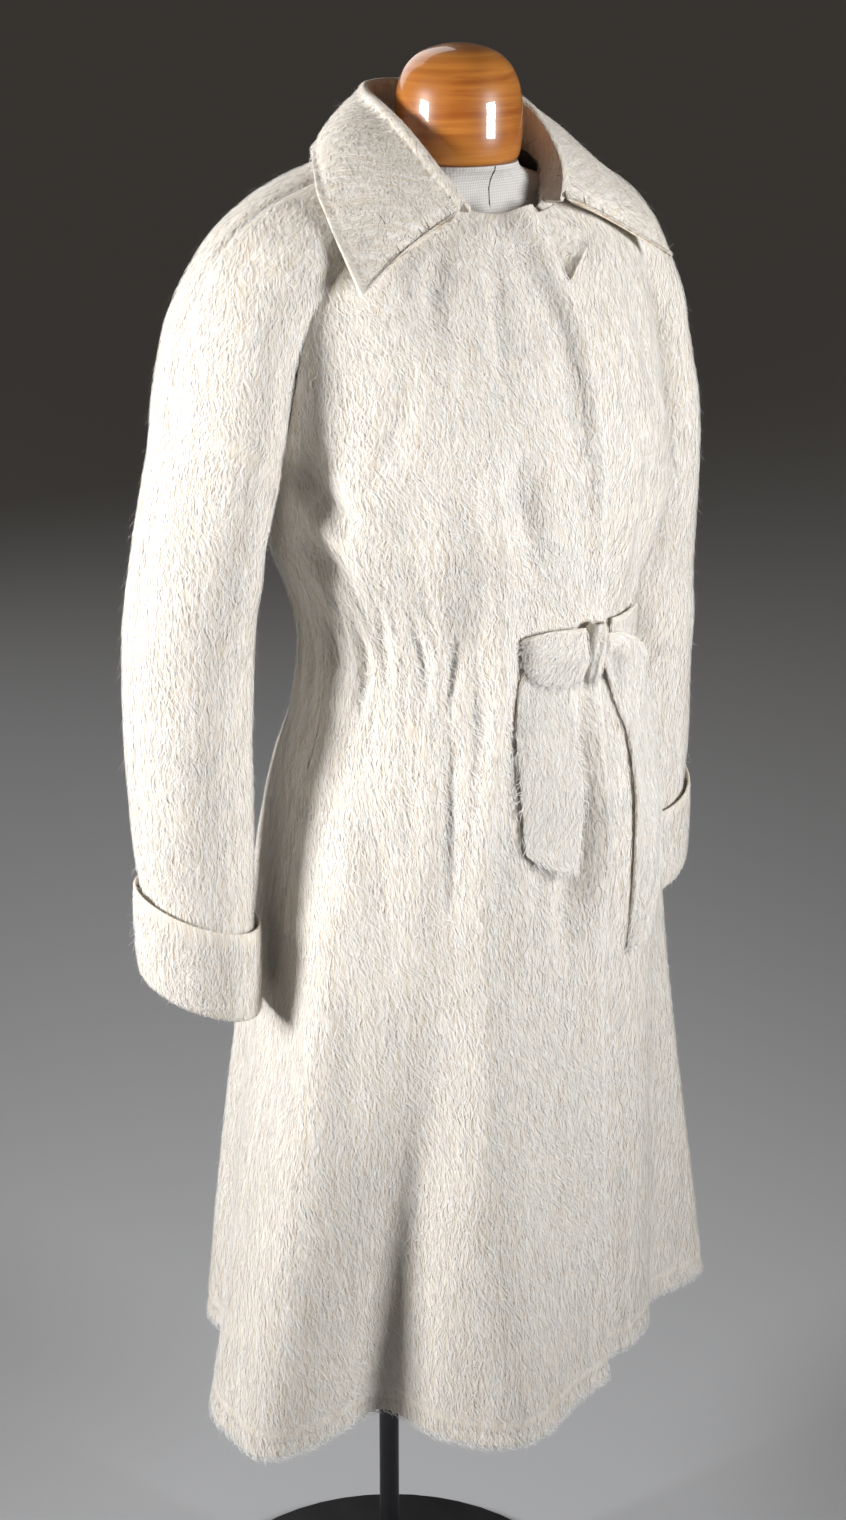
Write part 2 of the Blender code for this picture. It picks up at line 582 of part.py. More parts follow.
def add_object(name, points, faces, finish_name, shift=True):
    """Make one closed mesh object with its faces pointing out."""
    mesh = bpy.data.meshes.new(name)
    points = np.array(points, dtype=float)
    if shift:
        points = points + (BODY_X, BODY_Y, 0)
    mesh.from_pydata([tuple(p) for p in points], [], faces)
    shape = bmesh.new()
    shape.from_mesh(mesh)
    bmesh.ops.recalc_face_normals(shape, faces=shape.faces)
    shape.to_mesh(mesh)
    shape.free()
    mesh.shade_smooth()
    mesh.set_sharp_from_angle(angle=math.radians(50))
    mesh.materials.append(finish(finish_name))
    item = bpy.data.objects.new(name, mesh)
    bpy.context.scene.collection.objects.link(item)
    return item


def add_wall(name, outer, inner, finish_name):
    """Make a cloth wall between two grids of points."""
    rows, columns = outer.shape[:2]
    points = np.concatenate([outer.reshape(-1, 3), inner.reshape(-1, 3)])
    below = rows * columns

    def at(r, c, layer=0):
        return layer * below + r * columns + c

    faces = []
    for r in range(rows - 1):
        for c in range(columns - 1):
            square = [(r, c), (r, c + 1), (r + 1, c + 1), (r + 1, c)]
            faces.append([at(*p) for p in square])
            faces.append([at(*p, 1) for p in reversed(square)])
    rim = [(0, c) for c in range(columns)] + [(r, columns - 1) for r in range(1, rows)]
    rim += [(rows - 1, c) for c in range(columns - 2, -1, -1)]
    rim += [(r, 0) for r in range(rows - 2, 0, -1)]
    for here, there in zip(rim, rim[1:] + rim[:1]):
        high, low = (here, there) if outer[here][2] >= outer[there][2] else (there, here)
        faces.append([at(*high), at(*low), at(*low, 1)])
        faces.append([at(*high), at(*low, 1), at(*high, 1)])
    return add_object(name, points, faces, finish_name)


def add_stack(name, rings, finish_name, shift=True):
    """Make a solid from closed rings of points, one above the other."""
    rings = np.array(rings)
    count, around_count = rings.shape[:2]
    faces = [list(range(around_count)), list(range((count - 1) * around_count, count * around_count))]
    for r in range(count - 1):
        for c in range(around_count):
            d = (c + 1) % around_count
            faces.append([r * around_count + c, r * around_count + d,
                          (r + 1) * around_count + d, (r + 1) * around_count + c])
    return add_object(name, rings.reshape(-1, 3), faces, finish_name, shift)


def round_ring(radius, height, segments, middle=(0.0, 0.0)):
    """Return a level circle of points."""
    turns = [math.tau * i / segments for i in range(segments)]
    return [(middle[0] + radius * math.cos(t), middle[1] + radius * math.sin(t), height) for t in turns]


def panel_y(grid, x, z):
    """Return the y of a panel's outer points at an x and a height."""
    found = []
    for row in grid:
        order = np.argsort(row[:, 0])
        found.append([np.interp(x, row[order, 0], row[order, k]) for k in (2, 1)])
    found = np.array(found)
    return float(np.interp(z, found[:, 0], found[:, 1]))


def moved_out(grid, x, z, distance):
    """Return a point of a front panel moved out along its normal."""
    step = 0.004
    y = panel_y(grid, x, z)
    slope_x = (panel_y(grid, x + step, z) - panel_y(grid, x - step, z)) / (2 * step)
    slope_z = (panel_y(grid, x, z + step) - panel_y(grid, x, z - step)) / (2 * step)
    normal = np.array((slope_x, -1.0, slope_z))
    return np.array((x, y, z)) + normal / np.linalg.norm(normal) * distance


def add_strip(name, middle, thickness, finish_name):
    """Make a flat strip of cloth around a grid of its inner points."""
    normals = np.cross(np.gradient(middle, axis=1), np.gradient(middle, axis=0))
    normals /= np.linalg.norm(normals, axis=2, keepdims=True)
    if normals[..., 1].sum() > 0:
        normals = -normals
    return add_wall(name, middle + normals * thickness, middle, finish_name)


def build_coat():
    """Make the coat's panels and sleeves, and return the fronts' outer points."""
    outer = {"right_front": front_grid(-1), "left_front": front_grid(1), "back": back_grid()}
    sides = {"right": -1, "left": 1}
    for word, side in sides.items():
        for half in ("front", "back"):
            outer[f"{word}_sleeve_{half}"] = sleeve_grid(side, half)
    normals = {name: outward_normals(grid) for name, grid in outer.items()}
    under = ROW_HEIGHTS.index(UNDERARM)
    yoke = len(ROW_HEIGHTS) - under - 1
    for word, back_column in (("right", 0), ("left", -1)):
        front, back = normals[f"{word}_front"], normals["back"]
        ahead, behind = normals[f"{word}_sleeve_front"], normals[f"{word}_sleeve_back"]
        join_normals(front[:under + 1, -1], back[:under + 1, back_column])
        join_normals(front[under + 1:, -1][::-1], ahead[:yoke, 0])
        join_normals(back[under + 1:, back_column][::-1], behind[:yoke, -1])
        join_normals(ahead[:, -1], behind[:, 0])
        join_normals(ahead[yoke:, 0], behind[yoke:, -1])
    for name, grid in outer.items():
        inner = grid - normals[name] * CLOTH
        seams = (-1,) if name.endswith("_front") and "sleeve" not in name else (0, -1)
        for column in seams:
            open_seam(grid, column)
            open_seam(inner, column)
        add_wall(name, grid, inner, "wool")
    return outer


def neckline(side):
    """Return points along half the neckline, from the collar's front end to the back."""
    row = front_grid(side)[-1]
    order = np.argsort(row[:, 0])
    start = np.array([np.interp(side * COLLAR_END_X, row[order, 0], row[order, k]) for k in range(3)])
    front = row[np.abs(row[:, 0]) > COLLAR_END_X]
    front = front[np.argsort(np.abs(front[:, 0]))]
    arc = sleeve_arc(BODY.at(ROW_HEIGHTS[-1]), side, np.linspace(-1, 1, 13))
    back = back_grid()[-1]
    back = back[back[:, 0] * side >= -1e-9]
    back = back[np.argsort(-np.abs(back[:, 0]))]
    return np.concatenate([[start], front[:-1], arc, back[1:]])


def along_line(points, share):
    """Return the point at a share of a line's length."""
    length = np.concatenate([[0], np.cumsum(np.linalg.norm(np.diff(points, axis=0), axis=1))])
    return np.array([np.interp(share * length[-1], length, points[:, k]) for k in range(3)])


def inward_way(point):
    """Return the level direction from a point to the middle of the neck."""
    way = np.array((-point[0], CAP_Y - point[1], 0.0))
    return way / np.linalg.norm(way)


def collar_profile(side, share, line):
    """Return one section of the collar, from its foot over the roll to its edge."""
    row = COLLAR.at(share)
    spread = 1 + (COLLAR_SPREAD - 1) * (side > 0) * (1 - share)
    roll = np.array((side * row["roll_x"] * spread, row["roll_y"], row["roll_z"]))
    edge = np.array((side * row["edge_x"], row["edge_y"], row["edge_z"]))
    if side > 0:
        edge = edge * (row["left_wide"], 1, 1) - (0, 0, row["left_low"])
    out = edge - roll
    out[2] = 0
    out /= np.linalg.norm(out)
    up = np.array((0, 0, 1.0))
    seam = along_line(line, share)
    inward = inward_way(seam)
    foot = seam + inward * CLOTH + up * COLLAR_FOOT_RISE
    r = COLLAR_ROLL
    inside = roll - out * r - up * r
    outside = roll + out * r - up * r
    fall = edge - outside
    normal = np.cross(np.cross(out, up), fall)
    normal /= np.linalg.norm(normal)
    if normal[2] < 0:
        normal = -normal
    points = [foot, (foot + inside) / 2 + inward * 0.0005, inside,
              roll - (out * 0.7 + up * 0.3) * r, roll, roll + (out * 0.7 - up * 0.3) * r, outside]
    for t in (0.25, 0.5, 0.75, 1.0):
        points.append(outside + fall * t + normal * row["bulge"] * math.sin(math.pi * t))
    return points


def build_collar():
    """Make the collar, a stand and a fall in one piece."""
    shares = np.linspace(0, 1, COLLAR_STATIONS)
    right = [collar_profile(-1, s, neckline(-1)) for s in shares]
    left = [collar_profile(1, s, neckline(1)) for s in shares[:-1][::-1]]
    grid = np.array(right + left)
    normals = np.cross(np.gradient(grid, axis=1), np.gradient(grid, axis=0))
    normals /= np.linalg.norm(normals, axis=2, keepdims=True)
    if normals[:, 4, 2].sum() < 0:
        normals = -normals
    inner = grid - normals * CLOTH
    inner[:, 0] = [foot - inward_way(foot) * CLOTH for foot in grid[:, 0]]
    add_wall("collar", grid, inner, "wool")


def build_cuff(word, side):
    """Make a turned-back cuff: a band round the sleeve with a lip below its end."""
    sweep = np.linspace(-1, 1, CUFF_SEGMENTS, endpoint=False)
    low = sleeve_ring(8, side, sweep)
    high = sleeve_ring(6.9, side, sweep)
    middle = low.mean(axis=0)
    away = (low - middle) * (1, 1, 0)
    away[:, 0] /= CUFF_HALF_WIDTH ** 2
    away[:, 1] /= CUFF_HALF_DEPTH ** 2
    away /= np.linalg.norm(away, axis=1, keepdims=True)
    loops = []
    for offset, share, drop in CUFF_PROFILE:
        base = low + (high - low) * share
        base[:, 2] = low[:, 2] + CUFF_HEIGHT * share - drop
        loops.append(base + away * offset)
    loops = np.array(loops)
    count, segments = loops.shape[:2]
    faces = []
    for r in range(count):
        s = (r + 1) % count
        for c in range(segments):
            d = (c + 1) % segments
            faces.append([r * segments + c, r * segments + d, s * segments + d, s * segments + c])
    add_object(f"{word}_cuff", loops.reshape(-1, 3), faces, "wool")


def build_belt(fronts):
    """Make the belt's two bands, the knot and the two hanging ends."""
    right, left = fronts["right_front"], fronts["left_front"]
    low, high = KNOT_Z - BELT_WIDTH / 2, KNOT_Z + BELT_WIDTH / 2
    knot = (KNOT_X, panel_y(right, KNOT_X - 0.006, KNOT_Z) - KNOT_OFF, KNOT_Z)
    band = []
    for t in np.linspace(0, 1, 9):
        x = SLOT_X + (knot[0] - KNOT_SIZE[0] - 0.0008 - SLOT_X) * t
        foot = low + 0.030 * ease((0.35 - t) / 0.35)
        lift = REST_GAP * 3 + 0.006 * ease(t / 0.9)
        band.append([moved_out(right, x, z, lift) for z in np.linspace(foot, high, 5)])
    add_strip("belt_right_band", np.array(band), BELT_CLOTH, "belt_wool")
    band = []
    for t in np.linspace(0, 1, 6):
        x = LEFT_BAND_X + 0.045 * t
        heights = np.linspace(low + 0.004, high - 0.004, 5)
        band.append([moved_out(left, x, z, 0.0030) for z in heights])
    add_strip("belt_left_band", np.array(band), BELT_CLOTH, "belt_wool")
    rings = []
    for t in np.linspace(-0.96, 1.0, 9):
        size = math.sqrt(1 - (t * 0.9) ** 4)
        turns = np.linspace(0, math.tau, 14, endpoint=False)
        wide, deep, high = KNOT_SIZE
        rings.append([(knot[0] + wide * size * math.cos(a), knot[1] + deep * size * math.sin(a),
                       knot[2] + high * t) for a in turns])
    add_stack("belt_knot", rings, "belt_wool")
    short = []
    for height, left_x, right_x, left_off, right_off in SHORT_END:
        row = []
        for t in np.linspace(0, 1, 5):
            x = left_x + (right_x - left_x) * t
            row.append(moved_out(right, x, height, left_off + (right_off - left_off) * t))
        short.append(row)
    add_strip("belt_short_end", np.array(short)[::-1], BELT_CLOTH, "belt_wool")
    long = []
    for x, height, off, side_x, side_z, half_width in LONG_END:
        row = []
        for t in np.linspace(-1, 1, 5):
            row.append(moved_out(left, x + side_x * half_width * t, height + side_z * half_width * t, off))
        long.append(row)
    add_strip("belt_long_end", np.array(long), BELT_CLOTH, "belt_wool")


def build_corner(left):
    """Make the left front's upper corner, turned out and lying on the panel."""
    rows = []
    for height, outer_x in CORNER_ROWS:
        inner_x = EDGES.at(height)["overlap"] + 0.0012
        rows.append([moved_out(left, x, height, CORNER_STAND_OFF)
                     for x in np.linspace(inner_x, outer_x, 5)])
    add_strip("left_front_turned_corner", np.array(rows), CLOTH * 0.8, "wool")


def build_form():
    """Make the dress form: torso, cap, pole and base."""
    rings = []
    for height, *_ in FORM_ROWS:
        row = FORM.at(height)
        ring = []
        for i in range(FORM_SEGMENTS):
            turn = math.tau * i / FORM_SEGMENTS
            reach = row["back_y"] - row["side_y"] if math.sin(turn) > 0 else row["side_y"] - row["front_y"]
            ring.append((row["half_width"] * turned(math.cos(turn)),
                         row["side_y"] + reach * turned(math.sin(turn)), height))
        rings.append(ring)
    add_stack("form_torso", rings, "linen")
    top = FORM_ROWS[-1][0] + REST_GAP
    add_stack("neck_cap", [round_ring(radius, top + height, CAP_SEGMENTS, (0.0, CAP_Y))
                           for height, radius in CAP_PROFILE], "varnished_wood")
    base_top = BASE_PROFILE[-1][0]
    add_stack("base", [round_ring(radius, height, BASE_SEGMENTS) for height, radius in BASE_PROFILE],
              "dark_metal", shift=False)
    add_stack("pole", [round_ring(POLE_RADIUS, height, POLE_SEGMENTS)
                       for height in (base_top + REST_GAP, FORM_ROWS[0][0] - REST_GAP)],
              "dark_metal", shift=False)


def main():
    """Clear the scene and build every piece."""
    for item in list(bpy.data.objects):
        bpy.data.objects.remove(item, do_unlink=True)
    panels = build_coat()
    build_collar()
    for word, side in (("right", -1), ("left", 1)):
        build_cuff(word, side)
    build_belt(panels)
    build_corner(panels["left_front"])
    build_form()


main()
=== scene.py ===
"""Looks of a belted raglan coat of long-napped wool on a limbless dress form.

Metres, +Z up. The coat faces -Y, so the wearer's right side is at -X. Shapes that
belong to the coat are worked out from the coat's own middle, which stands a little
in front of the pole, and are moved to their place when a mesh is made.
"""

import logging
import math
from dataclasses import dataclass
from enum import Enum, IntEnum

import bmesh
import bpy
import numpy as np
from mathutils import Matrix, Vector


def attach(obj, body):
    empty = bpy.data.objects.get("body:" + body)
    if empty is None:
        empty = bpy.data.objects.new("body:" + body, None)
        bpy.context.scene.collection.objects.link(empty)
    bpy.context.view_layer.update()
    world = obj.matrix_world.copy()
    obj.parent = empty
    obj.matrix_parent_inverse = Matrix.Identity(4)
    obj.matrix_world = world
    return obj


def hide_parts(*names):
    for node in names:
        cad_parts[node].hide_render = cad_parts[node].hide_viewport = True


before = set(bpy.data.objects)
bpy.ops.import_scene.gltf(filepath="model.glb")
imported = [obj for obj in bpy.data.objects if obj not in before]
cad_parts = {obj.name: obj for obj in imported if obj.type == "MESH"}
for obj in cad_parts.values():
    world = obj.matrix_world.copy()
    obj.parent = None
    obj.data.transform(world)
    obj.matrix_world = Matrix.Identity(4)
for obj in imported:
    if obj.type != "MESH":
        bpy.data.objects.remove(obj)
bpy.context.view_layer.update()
LOG = logging.getLogger("coat")
Array = np.ndarray
Pair, Triple = tuple[float, float], tuple[float, float, float]
Rows = tuple[tuple[float, ...], ...]
Row = dict[str, float]
Colour = Triple
Node, Socket = bpy.types.Node, bpy.types.NodeSocket
Material, Object = bpy.types.Material, bpy.types.Object

CLOTH = 0.0036               # wall of the coat: woven ground with its flattened nap
BELT_CLOTH = 0.0034          # the belt and the turned corner, with their nap
THIN_WALL = 0.0030           # their ground alone
INSET = 0.0012               # the ground lies this far inside the solids, below its nap
ROUNDING = 0.30              # how far a piece's edges are drawn in and rounded, in walls
MAP_SPAN = 1.6               # metres of cloth in the whole width of a map
LEAST_FILL = 0.31            # smallest share of a cut's width by length that counts as cloth
HEM = 0.385
WAIST = 1.050
UNDERARM = 1.205
NECK_KEY = 1.408
BODY_SHIFT = np.array((0.010, -0.073, 0.0))
CAP_Y = -0.014               # the middle of the neck
POWER = 2 / 2.2              # makes the body's sections a little rounder than an ellipse
FRONT_STEP = 1.35            # degrees at the waist between two columns
BACK_STEP = 1.5
SLOPE_STEP = 0.004           # distance over which a panel's slope is measured


class Side(IntEnum):
    """The wearer's side, as the sign of X."""

    RIGHT = -1
    LEFT = 1

    @property
    def word(self) -> str:
        """Return the side's name."""
        return self.name.lower()


class Hang(Enum):
    """How a piece of cloth is held."""

    HUNG = "hung"
    GATHERED = "gathered"
    FOLDED = "folded"
    LAID = "laid"


@dataclass(eq=False)
class Table:
    """A short table with named columns, read smoothly between its rows."""

    columns: str
    rows: Rows

    def __post_init__(self) -> None:
        """Work out the slope of each column at each row."""
        self.values = rows = np.array(self.rows, dtype=float)
        step = np.diff(rows[:, 0])
        slope = np.diff(rows, axis=0) / step[:, None]
        self.slopes = np.zeros_like(rows)
        self.slopes[0], self.slopes[-1] = slope[0], slope[-1]
        before, after = slope[:-1], slope[1:]
        near, far = (2 * step[1:] + step[:-1])[:, None], (step[1:] + 2 * step[:-1])[:, None]
        flat = before * after <= 0
        mean = (near + far) / (near / np.where(flat, 1.0, before) + far / np.where(flat, 1.0, after))
        self.slopes[1:-1] = np.where(flat, 0.0, mean)

    def at(self, key: float) -> Row:
        """Read the table at one value of its first column.

        Args:
            key: the value, such as a height in metres.

        Returns:
            The other columns by name, with the key itself.
        """
        rows, slopes = self.values, self.slopes
        i = int(np.clip(np.searchsorted(rows[:, 0], key) - 1, 0, len(rows) - 2))
        step = rows[i + 1, 0] - rows[i, 0]
        t = (key - rows[i, 0]) / step
        value = (
            (1 + 2 * t) * (1 - t) ** 2 * rows[i] + t * (1 - t) ** 2 * step * slopes[i]
            + t * t * (3 - 2 * t) * rows[i + 1] + t * t * (t - 1) * step * slopes[i + 1]
        )
        return dict(zip(self.columns.split(), (key, *value[1:])))


# height, half width, then y at the front, side and back
SKIRT_ROWS = (
    (HEM, 0.244, -0.197, 0.004, 0.204),
    (0.480, 0.231, -0.195, 0.003, 0.194),
    (0.600, 0.213, -0.191, 0.000, 0.181),
    (0.740, 0.193, -0.185, -0.006, 0.161),
    (0.860, 0.181, -0.178, -0.012, 0.138),
    (0.940, 0.168, -0.168, -0.018, 0.119),
    (1.000, 0.155, -0.155, -0.024, 0.100),
    (1.050, 0.151, -0.149, -0.026, 0.094),
    (1.090, 0.158, -0.152, -0.024, 0.097),
    (1.130, 0.172, -0.158, -0.016, 0.101),
    (1.170, 0.184, -0.163, -0.007, 0.105),
)
YOKE_COLUMNS = (
    "front_z front_y front_seam_x front_seam_y front_seam_z front_turn "
    "back_z back_y back_seam_x back_seam_y back_seam_z back_turn "
    "crest_x crest_y crest_z arc_turn"
)
YOKE_ROWS = (
    (1.205, -0.163, 0.190, 0.000, 1.205, 90, 1.205, 0.107, 0.190, 0.000, 1.205, 90,
     0.272, 0.010, 1.262, 180),
    (1.235, -0.157, 0.190, -0.030, 1.235, 80, 1.238, 0.109, 0.190, 0.034, 1.240, 80,
     0.265, 0.010, 1.304, 150),
    (1.265, -0.148, 0.188, -0.040, 1.275, 74, 1.276, 0.110, 0.186, 0.052, 1.285, 72,
     0.254, 0.008, 1.342, 135),
    (1.300, -0.137, 0.183, -0.047, 1.315, 68, 1.318, 0.108, 0.178, 0.062, 1.330, 66,
     0.237, 0.006, 1.374, 118),
    (1.330, -0.124, 0.172, -0.055, 1.350, 62, 1.357, 0.103, 0.164, 0.068, 1.370, 60,
     0.211, 0.005, 1.401, 103),
    (1.355, -0.113, 0.152, -0.060, 1.378, 57, 1.392, 0.093, 0.142, 0.070, 1.401, 55,
     0.178, 0.004, 1.421, 90),
    (1.380, -0.101, 0.118, -0.060, 1.402, 53, 1.423, 0.080, 0.108, 0.066, 1.428, 50,
     0.139, 0.003, 1.435, 78),
    (1.395, -0.094, 0.090, -0.052, 1.420, 50, 1.441, 0.071, 0.080, 0.060, 1.443, 48,
     0.104, 0.002, 1.444, 68),
    (1.408, -0.087, 0.068, -0.041, 1.434, 48, 1.456, 0.062, 0.055, 0.050, 1.456, 45,
     0.074, 0.002, 1.452, 60),
)
BODY = Table(YOKE_COLUMNS, tuple(
    (z, front, half, side, z, 90, z, back, half, side, z, 90, half, side, z, 180)
    for z, half, front, side, back in SKIRT_ROWS
) + YOKE_ROWS)
SLEEVE = Table("station inner_x inner_z outer_x outer_z middle_y half_depth tilt", (
    (0, 0.1906, 1.205, 0.273, 1.262, 0.005, 0.0650, 0.0),
    (1, 0.1925, 1.160, 0.284, 1.207, 0.010, 0.0640, 0.0),
    (2, 0.1940, 1.110, 0.294, 1.143, 0.019, 0.0605, 0.0),
    (3, 0.1940, 1.055, 0.301, 1.070, 0.028, 0.0565, 0.0),
    (4, 0.1950, 0.990, 0.302, 0.995, 0.030, 0.0540, 0.1),
    (5, 0.1960, 0.925, 0.300, 0.925, 0.029, 0.0525, 0.3),
    (6, 0.1980, 0.870, 0.298, 0.868, 0.027, 0.0505, 0.7),
    (7, 0.2000, 0.835, 0.295, 0.835, 0.025, 0.0480, 1.0),
    (8, 0.2010, 0.766, 0.293, 0.766, 0.025, 0.0470, 1.0),
))
SLEEVE_TILT = 0.42
TILT_WAY = np.array((0.785, 0.62))
SLEEVE_TOP_DEPTH = 0.0647    # half depth of the sleeve where it leaves the body
SLEEVE_TOP_Y = 0.010         # y of its outer side there
LAST_STATION = 8
RINGS_A_STATION = 6
SLEEVE_COLUMNS = 25
SEAM_GROOVE = 0.0026         # depth of the overarm seam
SEAM_GROOVE_WIDTH = 0.035    # and its half width, as a share of the way round
FULL_ARC = 150               # degrees from which a row above the underarm is a round tube's
TOP_BLEND = 0.5              # stations over which the tube leaves the body's shape
SLANT_SHARE = 0.25
CREASE_END = 0.8             # place round the sleeve where creases start to fade,
CREASE_END_FADE = 0.2        # and how far round they fade
LEAN = Table("height inward down", (
    (0.700, 0.000, 0.000), (0.950, 0.000, 0.000), (1.070, 0.004, 0.000), (1.200, 0.012, 0.002),
    (1.300, 0.016, 0.004), (1.370, 0.017, 0.004), (1.405, 0.009, 0.001), (1.430, 0.000, 0.000),
    (1.455, 0.000, 0.000),
))
EDGES = Table("height overlap underlap", (
    (0.385, 0.030, 0.040), (0.560, 0.026, 0.040), (0.790, 0.024, 0.040),
    (0.950, 0.033, 0.042), (1.050, 0.046, 0.045), (1.090, 0.045, 0.043),
    (1.170, 0.036, 0.038), (1.250, 0.033, 0.034), (1.310, 0.031, 0.028),
    (1.350, 0.021, 0.018), (1.408, 0.004, 0.004),
))
EDGE_ROLL = Table("height lift", (
    (0.385, 0.0), (1.100, 0.0008), (1.230, 0.0055), (1.320, 0.0125), (1.375, 0.0185),
    (1.408, 0.0200),
))
EDGE_ROLL_WIDTH = 0.014
LAP_X = 0.100                # the left front follows the right one's folds up to this x
LAP_FADE = 0.040
LAP_GAP = 0.0049             # a cloth and a little air between the two fronts
COLLAR_START = 0.048         # x of the collar's front ends on the neckline
COLLAR = Table("share roll_x roll_y roll_z edge_x edge_y edge_z bulge left_wide left_low", (
    (0.00, 0.050, -0.086, 1.421, 0.158, -0.094, 1.359, 0.002, 1.06, 0.000),
    (0.14, 0.057, -0.079, 1.433, 0.160, -0.067, 1.393, 0.003, 1.00, 0.000),
    (0.30, 0.066, -0.058, 1.456, 0.157, -0.037, 1.425, 0.005, 0.94, 0.001),
    (0.46, 0.070, -0.022, 1.483, 0.143, -0.008, 1.444, 0.006, 0.91, 0.002),
    (0.62, 0.065, 0.018, 1.498, 0.118, 0.028, 1.454, 0.006, 0.90, 0.004),
    (0.78, 0.045, 0.050, 1.504, 0.087, 0.066, 1.453, 0.005, 0.93, 0.002),
    (0.90, 0.020, 0.064, 1.504, 0.046, 0.088, 1.444, 0.004, 0.97, 0.000),
    (1.00, 0.000, 0.066, 1.503, 0.000, 0.094, 1.438, 0.003, 1.00, 0.000),
))

# Angles go round from the front middle, negative to the wearer's right
BUMP_REACH = 3               # a soft bump is left out past this many of its half widths
# panels, angle, depth, half width, rise above the casing, fall below it
GATHERS = (
    ("R", -27.5, 0.004, 3, 0.035, 0.03), ("R", -36.5, 0.0075, 3, 0.03, 0.085),
    ("R", -48.5, 0.007, 3.2, 0.045, 0.04), ("R", -60.5, 0.006, 3, 0.07, 0.035),
    ("R", -72, 0.007, 3.2, 0.06, 0.045), ("RB", -84, 0.0055, 3.2, 0.05, 0.05),
    ("B", -97, 0.006, 3.2, 0.045, 0.06), ("B", -110, 0.007, 3.4, 0.055, 0.035),
    ("B", -122, 0.005, 3, 0.04, 0.05), ("B", -135, 0.0075, 3.4, 0.06, 0.07),
    ("B", -147, 0.0055, 3, 0.035, 0.045), ("B", -160, 0.007, 3.2, 0.055, 0.035),
    ("B", -173, 0.006, 3.2, 0.045, 0.075), ("B", 174, 0.0075, 3.2, 0.065, 0.045),
    ("B", 162, 0.0055, 3, 0.04, 0.035), ("B", 149, 0.007, 3.2, 0.05, 0.06),
    ("B", 136, 0.006, 3.4, 0.035, 0.045), ("B", 123, 0.0075, 3.2, 0.06, 0.05),
    ("B", 111, 0.0055, 3, 0.045, 0.035), ("B", 98, 0.0065, 3.2, 0.05, 0.065),
    ("L", 77.5, 0.0065, 3.2, 0.06, 0.04), ("L", 65, 0.007, 3.2, 0.04, 0.055),
    ("L", 53, 0.006, 3, 0.055, 0.035), ("L", 41, 0.0075, 3.2, 0.045, 0.07),
    ("L", 29, 0.005, 3, 0.035, 0.045),
)
CASING_HALF = 0.018
GATHER_SHARE = 0.95          # depth of the cloth's gathers against the solids'
CREASE_SHARE = 1.35          # and of its creases
GATHER_SWAY = 1.4            # degrees that a gather wanders
GATHER_SOFTNESS = 0.85
HEM_TURN = 0.0115            # height of the turned hem, where the cloth dips
HEM_GROOVE = 0.0013
HEM_HALF = 0.0030

# panels, angle at the hem, angle at the top, top height, depth, half width
FOLDS = (
    ("R", -11.5, -30, 1, 0.047, 15.5), ("R", -42, -27, 0.98, -0.036, 10), ("R", -66, -68, 0.98, 0.067, 12),
    ("RB", -83, -82, 0.76, 0.032, 9), ("B", -113, -112, 0.93, -0.034, 14),
    ("B", -137, -138, 0.95, -0.012, 8), ("B", -162, -160, 0.92, -0.022, 9),
    ("B", -179, -176, 0.98, 0.022, 10), ("B", 161, 162, 0.88, -0.02, 9), ("B", 143, 146, 0.98, 0.02, 10),
    ("B", 123, 122, 0.9, -0.022, 9), ("LB", 103, 102, 0.86, 0.016, 10), ("LB", 80, 80, 0.86, 0.014, 10),
    ("L", 61, 62, 0.97, 0.02, 10), ("L", 38, 38, 0.92, -0.034, 13), ("L", 17, 20, 0.92, -0.014, 12),
)
FOLD_GROWTH = 1.25

